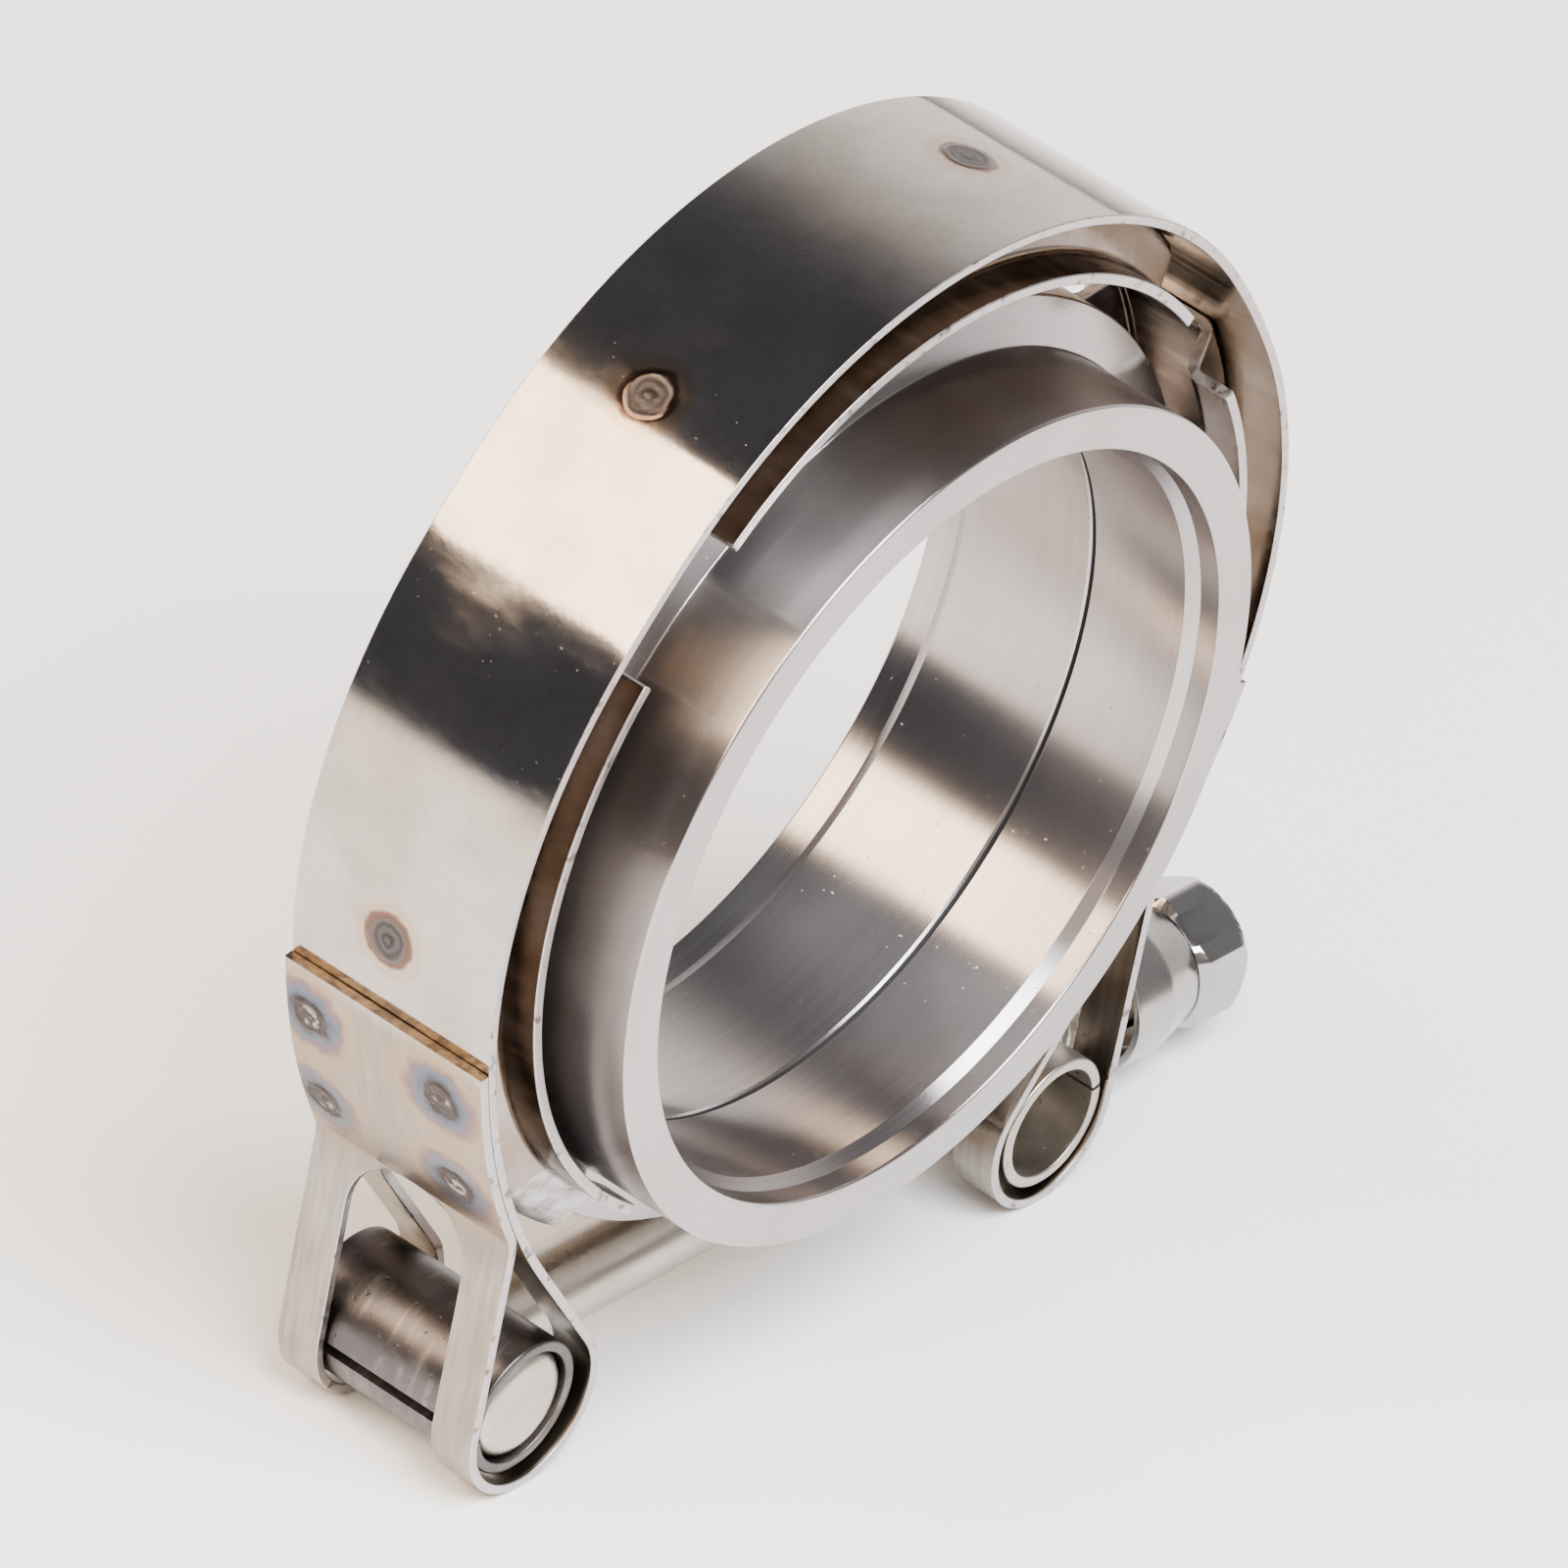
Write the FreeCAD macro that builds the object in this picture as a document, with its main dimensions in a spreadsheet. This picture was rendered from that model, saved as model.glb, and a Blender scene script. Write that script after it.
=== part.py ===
"""V band clamp for a 3 inch exhaust pipe joint, with its two flanges, as a parametric FreeCAD document.

Frame: the flange axis lies along Y with the front face of the front flange at the origin, X runs along the
T bolt towards its nut, and Z is up, away from the bolt. Millimetres and degrees.

The clamp is drawn as it lies with its nut run back to the end of the bolt: the band has sprung open, so each
of its three retainers has a centre of its own, and the flanges have dropped onto the retainers' lower ends.
"""
import FreeCAD, Part
import cmath
import math
import os
import Sketcher
from FreeCAD import Placement, Rotation, Vector

SIZES = {
    # flanges, turned rings that are welded to the pipe ends
    "pipe_radius": 38.1,
    "pipe_clearance": 0.15,
    "ledge_step": 0.85,
    "neck_wall": 4.5,
    "rim_height": 4.45,
    "spigot_wall": 2.6,
    "front_socket_depth": 2.3,
    "rear_socket_depth": 3.2,
    "ledge_run": 1.2,
    "front_flange_length": 18.1,
    "rear_flange_length": 15.7,
    "spigot_length": 3.9,
    "spigot_clearance": 0.1,
    "seam_gap": 0.2,
    "spigot_chamfer": 0.6,
    "edge_break": 0.3,
    # retainers, rolled from sheet to a hat section with a V groove
    "retainer_sheet": 1.1,
    "groove_depth": 4.85,
    "groove_angle": 20.0,
    "groove_width": 9.9,
    "retainer_width": 23.6,
    "retainer_arc": 92.0,
    "bend_radius": 0.9,
    "groove_clearance": 0.15,
    "seat_clearance": 0.2,
    # the band: one strip, rolled round the retainers and looped at both ends
    "strap_thickness": 0.95,
    "strap_width": 23.6,
    "weld_gap": 0.05,
    "upper_arc": 97.0,
    "joint_length": 13.0,
    "joint_turn": 7.9,
    "band_rise": 8.2,
    "leave_angle": 192.0,
    "leg_radius": 70.0,
    "left_leg_end_angle": 219.4,
    "right_leg_end_angle": 213.6,
    "loop_clearance": 0.8,
    "leaf_bend_radius": 4.0,
    "leaf_end_angle": 193.2,
    "fork_slot": 14.0,
    "fork_reach": 22.7,
    "weld_radius": 1.6,
    "weld_pitch_across": 15.0,
    "weld_pitch_along": 7.2,
    "weld_edge_distance": 7.0,
    # T bolt, with the split sleeve over its cross head, and the split tube that the bolt passes through
    "sleeve_radius": 6.9,
    "sleeve_wall": 1.15,
    "sleeve_length": 21.8,
    "sleeve_slit": 1.2,
    "slit_angle": 188.0,
    "loop_play": 0.5,
    "head_clearance": 0.05,
    "head_edge": 1.8,
    "bolt_radius": 4.0,
    "bolt_gap": 1.8,
    "bolt_hole_clearance": 0.3,
    "bolt_end_depth": 1.05,
    "bolt_end_chamfer": 0.8,
    "tube_wall": 1.2,
    "tube_length": 22.8,
    "tube_slit": 0.5,
    "tube_slit_angle": 16.0,
    # thrust sleeve and lock nut
    "skirt_radius": 7.4,
    "skirt_wall": 0.9,
    "skirt_length": 5.2,
    "shoulder_radius": 3.0,
    "thrust_length": 10.2,
    "cup_depth": 4.6,
    "collar_radius": 6.3,
    "running_clearance": 0.05,
    "thrust_travel": 9.2,
    "travel_stop": 0.3,
    "nut_flats": 13.0,
    "nut_height": 7.6,
    "nut_seat_radius": 6.4,
    "nut_seat_slope": 0.7,
    "nut_end_round": 2.6,
}


def unit(angle):
    """The direction at an angle in degrees, seen from the front with X to the right and Z up."""
    return cmath.rect(1, math.radians(angle))


def angle_of(direction):
    return math.degrees(cmath.phase(direction)) % 360


JOINT_START = 90 + SIZES["upper_arc"] / 2
JOINT_END = JOINT_START + SIZES["joint_turn"]
RETAINER_END = JOINT_END + SIZES["retainer_arc"]
SLOPE = math.tan(math.radians(SIZES["groove_angle"]))


def opened_lip_radius():
    """The lips' radius that lets the flange necks rest, with seat_clearance, on an opened retainer's end.

    An opened retainer turns about a centre of its own, so its end lies further in than on a closed clamp.
    That drop grows with the band's rise and shrinks in step with the band's radius, which follows the lips'.
    """
    end = unit(RETAINER_END).conjugate()
    rise_drop = -(complex(0, SIZES["band_rise"]) * end).real
    turn_drop = -((unit(JOINT_END) - unit(JOINT_START)) * end).real
    spare = PLACES["joint_radius"] - PLACES["lip_to_strap"]
    return (PLACES["neck_radius"] + SIZES["seat_clearance"] + rise_drop + spare * turn_drop) / (1 + turn_drop)


def opened_band():
    """Centres of the arcs that the opened band is made of, for its left half, as complex X + iZ.

    The strap keeps its radius where a retainer backs it. In the joint between two retainers it has sprung
    flatter, so it turns by joint_turn over joint_length, which sets the next retainer's centre.
    """
    radius = PLACES["strap_middle_radius"]
    upper = complex(0, SIZES["band_rise"])
    joint = upper + (radius - PLACES["joint_radius"]) * unit(JOINT_START)
    side = joint + (PLACES["joint_radius"] - radius) * unit(JOINT_END)
    leg = side + (radius - SIZES["leg_radius"]) * unit(SIZES["leave_angle"])
    return {"upper": upper, "joint": joint, "side": side, "leg": leg}


def loop_centre(leg_end_angle):
    """Centre of the left loop, for the angle at which the leg's arc ends and its straight begins.

    The straight runs down along the arc's tangent until the loop that it meets is at the bolt's height.
    """
    spoke = unit(leg_end_angle)
    leg_end = BAND["leg"] + SIZES["leg_radius"] * spoke
    start_height = -PLACES["loop_drop"] - PLACES["loop_middle_radius"] * spoke.imag
    travel = 1j * spoke
    straight = (start_height - leg_end.imag) / travel.imag
    return leg_end + straight * travel + PLACES["loop_middle_radius"] * spoke


PLACES = {}
# radii of the flanges, outwards from the pipe
PLACES["socket_radius"] = SIZES["pipe_radius"] + SIZES["pipe_clearance"]
PLACES["bore_radius"] = PLACES["socket_radius"] - SIZES["ledge_step"]
PLACES["neck_radius"] = PLACES["socket_radius"] + SIZES["neck_wall"]
PLACES["rim_radius"] = PLACES["neck_radius"] + SIZES["rim_height"]
PLACES["spigot_radius"] = PLACES["bore_radius"] + SIZES["spigot_wall"]

# radii of the band and the retainers, and the loops' places
PLACES["lip_to_strap"] = (SIZES["groove_depth"] + SIZES["retainer_sheet"] + SIZES["weld_gap"]
                          + SIZES["strap_thickness"] / 2)
PLACES["joint_radius"] = SIZES["joint_length"] / math.radians(SIZES["joint_turn"])
PLACES["lip_radius"] = opened_lip_radius()
PLACES["strap_middle_radius"] = PLACES["lip_radius"] + PLACES["lip_to_strap"]
BAND = opened_band()
DROP = -(BAND["side"] * unit(RETAINER_END).conjugate()).real
PLACES["loop_drop"] = PLACES["rim_radius"] + SIZES["bolt_gap"] + SIZES["bolt_radius"]
PLACES["loop_radius"] = SIZES["sleeve_radius"] + SIZES["loop_clearance"]
PLACES["loop_outer"] = PLACES["loop_radius"] + SIZES["strap_thickness"]
PLACES["loop_middle_radius"] = PLACES["loop_radius"] + SIZES["strap_thickness"] / 2
PLACES["left_loop_place"] = -loop_centre(SIZES["left_leg_end_angle"]).real
PLACES["right_loop_place"] = -loop_centre(SIZES["right_leg_end_angle"]).real
PLACES["sheet_pitch"] = SIZES["strap_thickness"] + SIZES["weld_gap"]
PLACES["leaf_middle_radius"] = SIZES["leg_radius"] + PLACES["sheet_pitch"]

# places along the flange axis, from the front face
PLACES["parting"] = SIZES["front_flange_length"]
PLACES["rear_face"] = PLACES["parting"] + SIZES["rear_flange_length"]
PLACES["seam"] = PLACES["parting"] - SIZES["spigot_length"]
PLACES["spigot_nose"] = PLACES["seam"] + SIZES["seam_gap"]
PLACES["recess_radius"] = PLACES["spigot_radius"] + SIZES["spigot_clearance"]
PLACES["front_ledge_start"] = SIZES["front_socket_depth"]
PLACES["front_ledge_end"] = SIZES["front_socket_depth"] + SIZES["ledge_run"]
PLACES["rear_ledge_start"] = PLACES["rear_face"] - SIZES["rear_socket_depth"]
PLACES["rear_ledge_end"] = PLACES["rear_ledge_start"] - SIZES["ledge_run"]

# the V groove of the retainers, and the flange rims that seat in it at the retainers' lower ends
PLACES["root_inner"] = PLACES["lip_radius"] + SIZES["groove_depth"]
PLACES["root_outer"] = PLACES["root_inner"] + SIZES["retainer_sheet"]
PLACES["lip_outer"] = PLACES["lip_radius"] + SIZES["retainer_sheet"]
HALF_ROOT = SIZES["groove_width"] / 2
HALF_LIP = HALF_ROOT + SIZES["groove_depth"] * SLOPE
WALL_SHIFT = SIZES["retainer_sheet"] / math.cos(math.radians(SIZES["groove_angle"]))
OUTER_SHIFT = WALL_SHIFT - SIZES["retainer_sheet"] * SLOPE
BEND_HALF_TURN = math.tan(math.radians((90 - SIZES["groove_angle"]) / 2))
PLACES["inner_bend"] = SIZES["bend_radius"] * BEND_HALF_TURN
PLACES["outer_bend"] = (SIZES["bend_radius"] + SIZES["retainer_sheet"]) * BEND_HALF_TURN
RIM_HALF = (HALF_ROOT + (PLACES["root_inner"] - DROP - PLACES["rim_radius"]) * SLOPE
            - SIZES["groove_clearance"] / math.cos(math.radians(SIZES["groove_angle"])))
RIM_RUN = SIZES["rim_height"] * SLOPE
PLACES["front_rim_land"] = PLACES["parting"] - RIM_HALF
PLACES["front_rim_foot"] = PLACES["front_rim_land"] - RIM_RUN
PLACES["rear_rim_land"] = PLACES["parting"] + RIM_HALF
PLACES["rear_rim_foot"] = PLACES["rear_rim_land"] + RIM_RUN
for side_name, sign in (("front", -1), ("rear", 1)):
    PLACES[side_name + "_lip_tip"] = PLACES["parting"] + sign * SIZES["retainer_width"] / 2
    PLACES[side_name + "_lip_bend"] = PLACES["parting"] + sign * HALF_LIP
    PLACES[side_name + "_root_bend"] = PLACES["parting"] + sign * HALF_ROOT
    PLACES[side_name + "_lip_bend_outer"] = PLACES["parting"] + sign * (HALF_LIP + OUTER_SHIFT)
    PLACES[side_name + "_root_bend_outer"] = PLACES["parting"] + sign * (HALF_ROOT + OUTER_SHIFT)

# T bolt, trunnion tube, thrust sleeve and nut
PLACES["sleeve_bore"] = SIZES["sleeve_radius"] - SIZES["sleeve_wall"]
PLACES["head_radius"] = PLACES["sleeve_bore"] - SIZES["head_clearance"]
PLACES["tube_bore"] = SIZES["sleeve_radius"] - SIZES["tube_wall"]
PLACES["bolt_hole_radius"] = SIZES["bolt_radius"] + SIZES["bolt_hole_clearance"]
PLACES["nut_bore"] = SIZES["bolt_radius"] + SIZES["running_clearance"]
PLACES["skirt_bore"] = SIZES["skirt_radius"] - SIZES["skirt_wall"]
PLACES["nut_corner_radius"] = SIZES["nut_flats"] / math.sqrt(3)
PLACES["nut_cut_radius"] = 2 * PLACES["nut_corner_radius"]
PLACES["thrust_place"] = (PLACES["right_loop_place"] + PLACES["loop_outer"] + SIZES["travel_stop"]
                          + SIZES["thrust_travel"])
PLACES["nut_place"] = PLACES["thrust_place"] + SIZES["thrust_length"]
PLACES["head_place"] = -PLACES["left_loop_place"] - SIZES["loop_play"]
PLACES["tube_place"] = PLACES["right_loop_place"] + SIZES["loop_play"]
PLACES["bolt_length"] = (PLACES["nut_place"] + SIZES["nut_height"] - SIZES["bolt_end_depth"]
                         - PLACES["head_place"])

doc = FreeCAD.newDocument("v_band_clamp")
PARTS = []


def make_sheet(name, values):
    sheet = doc.addObject("Spreadsheet::Sheet", name)
    for row, (alias, number) in enumerate(values.items(), start=1):
        sheet.set("A%d" % row, alias.replace("_", " "))
        sheet.set("B%d" % row, "%.9f" % number)
        sheet.setAlias("B%d" % row, alias)
    return sheet


make_sheet("Sizes", SIZES)
make_sheet("Places", PLACES)
doc.recompute()


def value(alias):
    return SIZES[alias] if alias in SIZES else PLACES[alias]


def cell(alias):
    return ("Sizes." if alias in SIZES else "Places.") + alias


def new_body(label, place=Placement()):
    body = doc.addObject("PartDesign::Body", label)
    body.Label = label
    body.Placement = place
    PARTS.append(body)
    return body


def new_sketch(body, label, role):
    plane = [item for item in body.Origin.OriginFeatures if item.Role == role][0]
    sketch = body.newObject("Sketcher::SketchObject", label)
    sketch.AttachmentSupport = (plane, [""])
    sketch.MapMode = "FlatFace"
    return sketch


def bind_point(sketch, line, column, alias):
    """Tie one coordinate of a line's first point to a cell, or put the point on the axis for None."""
    if alias is None:
        axis = -2 if column == "DistanceX" else -1
        sketch.addConstraint(Sketcher.Constraint("PointOnObject", line, 1, axis))
        return
    index = sketch.addConstraint(Sketcher.Constraint(column, -1, 1, line, 1, value(alias)))
    sketch.setExpression("Constraints[%d]" % index, cell(alias))


def corner_outline(sketch, corners):
    """A closed outline of straight sides. Each corner is two cell names, or None for a point on an axis."""
    points = [Vector(*(0 if alias is None else value(alias) for alias in corner), 0) for corner in corners]
    count = len(points)
    for start in range(count):
        sketch.addGeometry(Part.LineSegment(points[start], points[(start + 1) % count]), False)
    for start in range(count):
        sketch.addConstraint(Sketcher.Constraint("Coincident", start, 2, (start + 1) % count, 1))
    for start, (across, along) in enumerate(corners):
        bind_point(sketch, start, "DistanceX", across)
        bind_point(sketch, start, "DistanceY", along)


def revolve(body, label, role, axis, corners, feature="PartDesign::Revolution"):
    sketch = new_sketch(body, label + "_profile", role)
    corner_outline(sketch, corners)
    turned = body.newObject(feature, label)
    turned.Profile = sketch
    turned.ReferenceAxis = (sketch, [axis])
    turned.Angle = 360
    body.Tip = turned
    return turned


def circle_sketch(body, label, role, alias, centre=Vector()):
    sketch = new_sketch(body, label, role)
    sketch.addGeometry(Part.Circle(centre, Vector(0, 0, 1), value(alias)), False)
    if centre.Length == 0:
        sketch.addConstraint(Sketcher.Constraint("Coincident", 0, 3, -1, 1))
    index = sketch.addConstraint(Sketcher.Constraint("Radius", 0, value(alias)))
    sketch.setExpression("Constraints[%d]" % index, cell(alias))
    return sketch


def extrude(body, feature, sketch, length, side="One side", reverse=False):
    """A pad or pocket whose length is a cell expression, or runs through all for None."""
    solid = body.newObject(feature, sketch.Name + "_" + feature.split("::")[1].lower())
    solid.Profile = sketch
    solid.SideType = side
    solid.Reversed = reverse
    if length is None:
        solid.Type = "ThroughAll"
    else:
        solid.setExpression("Length", length)
    body.Tip = solid
    return solid


def edge_names(shape, test):
    return ["Edge%d" % number for number, edge in enumerate(shape.Edges, start=1) if test(edge)]


def ring_edge(radius, along):
    """A test for a circular edge of a turned piece, by its radius and its place along the Y axis."""
    def test(edge):
        curve = edge.Curve
        return (isinstance(curve, Part.Circle) and abs(curve.Radius - radius) < 1e-4
                and abs(curve.Center.y - along) < 1e-4)
    return test


def round_edge(radius, along):
    """A test for a circular edge of a piece turned about the bolt, by its radius and place along X."""
    def test(edge):
        curve = edge.Curve
        return (isinstance(curve, Part.Circle) and abs(curve.Radius - radius) < 1e-4
                and abs(curve.Center.x - along) < 1e-4)
    return test


def dress(body, feature, label, edges, size, expression):
    """A fillet or chamfer on the named edges of the body's last feature."""
    base = body.Tip
    worked = body.newObject(feature, label)
    worked.Base = (base, edges)
    amount = "Radius" if feature.endswith("Fillet") else "Size"
    setattr(worked, amount, size)
    worked.setExpression(amount, expression)
    body.Tip = worked


def make_front_flange():
    """Turned ring: pipe socket, neck, half of the V rim, and the recess that takes the rear spigot."""
    body = new_body("front_flange")
    revolve(body, "front_ring", "XY_Plane", "V_Axis", [
        ("socket_radius", None), ("neck_radius", None), ("neck_radius", "front_rim_foot"),
        ("rim_radius", "front_rim_land"), ("rim_radius", "parting"), ("recess_radius", "parting"),
        ("recess_radius", "seam"), ("bore_radius", "seam"), ("bore_radius", "front_ledge_end"),
        ("socket_radius", "front_ledge_start")])
    doc.recompute()
    tests = [ring_edge(PLACES["neck_radius"], 0), ring_edge(PLACES["rim_radius"], PLACES["front_rim_land"])]
    edges = [name for test in tests for name in edge_names(body.Tip.Shape, test)]
    dress(body, "PartDesign::Chamfer", "front_edge_break", edges, SIZES["edge_break"], cell("edge_break"))


def make_rear_flange():
    """The matching ring, with a spigot that centres it in the front flange."""
    body = new_body("rear_flange")
    revolve(body, "rear_ring", "XY_Plane", "V_Axis", [
        ("bore_radius", "spigot_nose"), ("spigot_radius", "spigot_nose"), ("spigot_radius", "parting"),
        ("rim_radius", "parting"), ("rim_radius", "rear_rim_land"), ("neck_radius", "rear_rim_foot"),
        ("neck_radius", "rear_face"), ("socket_radius", "rear_face"), ("socket_radius", "rear_ledge_start"),
        ("bore_radius", "rear_ledge_end")])
    doc.recompute()
    tests = [ring_edge(PLACES["neck_radius"], PLACES["rear_face"]),
             ring_edge(PLACES["rim_radius"], PLACES["rear_rim_land"])]
    edges = [name for test in tests for name in edge_names(body.Tip.Shape, test)]
    dress(body, "PartDesign::Chamfer", "rear_edge_break", edges, SIZES["edge_break"], cell("edge_break"))
    doc.recompute()
    edges = edge_names(body.Tip.Shape, ring_edge(PLACES["bore_radius"], PLACES["spigot_nose"]))
    dress(body, "PartDesign::Chamfer", "spigot_lead", edges, SIZES["spigot_chamfer"], cell("spigot_chamfer"))


def make_retainer(label, centre, start_angle):
    """One rolled segment: lips along the flange necks, sloped walls and a flat root under the strap."""
    turn = Rotation(Vector(0, -1, 0), start_angle)
    body = new_body(label, Placement(Vector(centre.real, 0, centre.imag), turn))
    section = revolve(body, label + "_section", "XY_Plane", "V_Axis", [
        ("lip_outer", "front_lip_tip"), ("lip_outer", "front_lip_bend_outer"),
        ("root_outer", "front_root_bend_outer"), ("root_outer", "rear_root_bend_outer"),
        ("lip_outer", "rear_lip_bend_outer"), ("lip_outer", "rear_lip_tip"),
        ("lip_radius", "rear_lip_tip"), ("lip_radius", "rear_lip_bend"),
        ("root_inner", "rear_root_bend"), ("root_inner", "front_root_bend"),
        ("lip_radius", "front_lip_bend"), ("lip_radius", "front_lip_tip")])
    section.Reversed = True
    section.setExpression("Angle", cell("retainer_arc"))
    doc.recompute()
    hollow, crown = [], []
    for side in ("front", "rear"):
        crown.append(ring_edge(PLACES["root_outer"], PLACES[side + "_root_bend_outer"]))
        hollow.append(ring_edge(PLACES["root_inner"], PLACES[side + "_root_bend"]))
        crown.append(ring_edge(PLACES["lip_radius"], PLACES[side + "_lip_bend"]))
        hollow.append(ring_edge(PLACES["lip_outer"], PLACES[side + "_lip_bend_outer"]))
    shape = body.Tip.Shape
    edges = [name for test in hollow for name in edge_names(shape, test)]
    dress(body, "PartDesign::Chamfer", label + "_inner_bends", edges, PLACES["inner_bend"],
          cell("inner_bend"))
    doc.recompute()
    shape = body.Tip.Shape
    edges = [name for test in crown for name in edge_names(shape, test)]
    dress(body, "PartDesign::Chamfer", label + "_outer_bends", edges, PLACES["outer_bend"],
          cell("outer_bend"))


def strap_half(normal):
    """Middle line of half of the strap, from the top of the band round the left loop to the leaf's end.

    The leg's arc ends at the angle normal. Each arc is (centre, radius cell, first angle, last angle) and
    each straight is (start, end), both in the order of travel. A falling angle means a clockwise arc.
    """
    loop = loop_centre(normal)
    loop_radius = PLACES["loop_middle_radius"]
    leg = BAND["leg"]
    leg_end = leg + SIZES["leg_radius"] * unit(normal)
    loop_start = loop - loop_radius * unit(normal)
    loop_end = complex(loop.real - loop_radius, loop.imag)
    bend_radius = SIZES["leaf_bend_radius"]
    bend_reach = PLACES["leaf_middle_radius"] + bend_radius
    bend_across = loop_end.real - bend_radius
    bend_height = leg.imag - math.sqrt(bend_reach ** 2 - (bend_across - leg.real) ** 2)
    bend = complex(bend_across, bend_height)
    bend_turn = angle_of(leg - bend)
    return [
        (BAND["upper"], "strap_middle_radius", 90, JOINT_START),
        (BAND["joint"], "joint_radius", JOINT_START, JOINT_END),
        (BAND["side"], "strap_middle_radius", JOINT_END, SIZES["leave_angle"]),
        (leg, "leg_radius", SIZES["leave_angle"], normal),
        (leg_end, loop_start),
        (loop, "loop_middle_radius", normal - 180, -180),
        (loop_end, bend + bend_radius),
        (bend, "leaf_bend_radius", 0, bend_turn),
        (leg, "leaf_middle_radius", bend_turn + 180, SIZES["leaf_end_angle"]),
    ]


def strap_side(path, shift, mirror):
    """One face of the strap: the middle line moved by shift to the right of its travel, as sketch curves.

    Each entry is (curve, first point number, last point number, radius cell, shift of the radius).
    """
    def place(point):
        return Vector(-point.real if mirror else point.real, point.imag, 0)

    curves = []
    for piece in path:
        if len(piece) == 2:
            start, end = piece
            aside = -1j * (end - start) / abs(end - start) * shift
            curves.append((Part.LineSegment(place(start + aside), place(end + aside)), 1, 2, None, 0))
            continue
        centre, alias, first, last = piece
        growth = shift if last > first else -shift
        circle = Part.Circle(place(centre), Vector(0, 0, 1), value(alias) + growth)
        low, high = sorted((180 - first, 180 - last) if mirror else (first, last))
        arc = Part.ArcOfCircle(circle, math.radians(low), math.radians(high))
        rising = (last > first) != mirror
        curves.append((arc, 1 if rising else 2, 2 if rising else 1, alias, growth))
    return curves


def make_strap():
    """The band: one strip of sheet on edge, whose ends loop round the trunnions and fold back as leaves."""
    body = new_body("strap", Placement(Vector(0, PLACES["parting"], 0), Rotation()))
    half = SIZES["strap_thickness"] / 2
    outline = []
    for mirror, leg_end_angle in ((False, SIZES["left_leg_end_angle"]), (True, SIZES["right_leg_end_angle"])):
        path = strap_half(leg_end_angle)
        outer = strap_side(path, half, mirror)
        inner = strap_side(path, -half, mirror)
        back = [(curve, last, first, alias, growth) for curve, first, last, alias, growth in reversed(inner)]
        tips = []
        for curve, _, last, _, _ in (outer[-1], inner[-1]):
            tips.append(curve.StartPoint if last == 1 else curve.EndPoint)
        cap = (Part.LineSegment(tips[0], tips[1]), 1, 2, None, 0)
        chain = outer + [cap] + back
        if mirror:
            chain = [(curve, last, first, alias, growth) for curve, first, last, alias, growth
                     in reversed(chain)]
        outline += chain
    sketch = new_sketch(body, "strap_outline", "XZ_Plane")
    for curve, _, _, _, _ in outline:
        sketch.addGeometry(curve, False)
    count = len(outline)
    for index in range(count):
        follower = (index + 1) % count
        sketch.addConstraint(Sketcher.Constraint("Coincident", index, outline[index][2],
                                                 follower, outline[follower][1]))
    for index, (curve, _, _, alias, growth) in enumerate(outline):
        if alias is None:
            continue
        number = sketch.addConstraint(Sketcher.Constraint("Radius", index, value(alias) + growth))
        sign = "+" if growth > 0 else "-"
        sketch.setExpression("Constraints[%d]" % number,
                             "%s %s %s / 2" % (cell(alias), sign, cell("strap_thickness")))
    extrude(body, "PartDesign::Pad", sketch, cell("strap_width"), "Symmetric")
    cut_forks(body)
    add_leaf_welds(body)


def cut_forks(body):
    """The slot through each loop, open round its whole bend, that leaves two legs and lets the bolt in."""
    slot = new_sketch(body, "fork_slot", "YZ_Plane")
    radius = SIZES["fork_slot"] / 2
    crown = SIZES["fork_reach"] - PLACES["loop_drop"] - radius
    foot = -PLACES["loop_drop"] - 2 * PLACES["loop_outer"]
    arch = Part.Circle(Vector(0, crown, 0), Vector(0, 0, 1), radius)
    slot.addGeometry(Part.ArcOfCircle(arch, 0, math.pi), False)
    slot.addGeometry(Part.LineSegment(Vector(-radius, crown, 0), Vector(-radius, foot, 0)), False)
    slot.addGeometry(Part.LineSegment(Vector(-radius, foot, 0), Vector(radius, foot, 0)), False)
    slot.addGeometry(Part.LineSegment(Vector(radius, foot, 0), Vector(radius, crown, 0)), False)
    for first, first_end, second, second_end in ((0, 2, 1, 1), (1, 2, 2, 1), (2, 2, 3, 1), (3, 2, 0, 1)):
        slot.addConstraint(Sketcher.Constraint("Coincident", first, first_end, second, second_end))
    number = slot.addConstraint(Sketcher.Constraint("Radius", 0, radius))
    slot.setExpression("Constraints[%d]" % number, cell("fork_slot") + " / 2")
    extrude(body, "PartDesign::Pocket", slot, None, "Symmetric")


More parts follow.
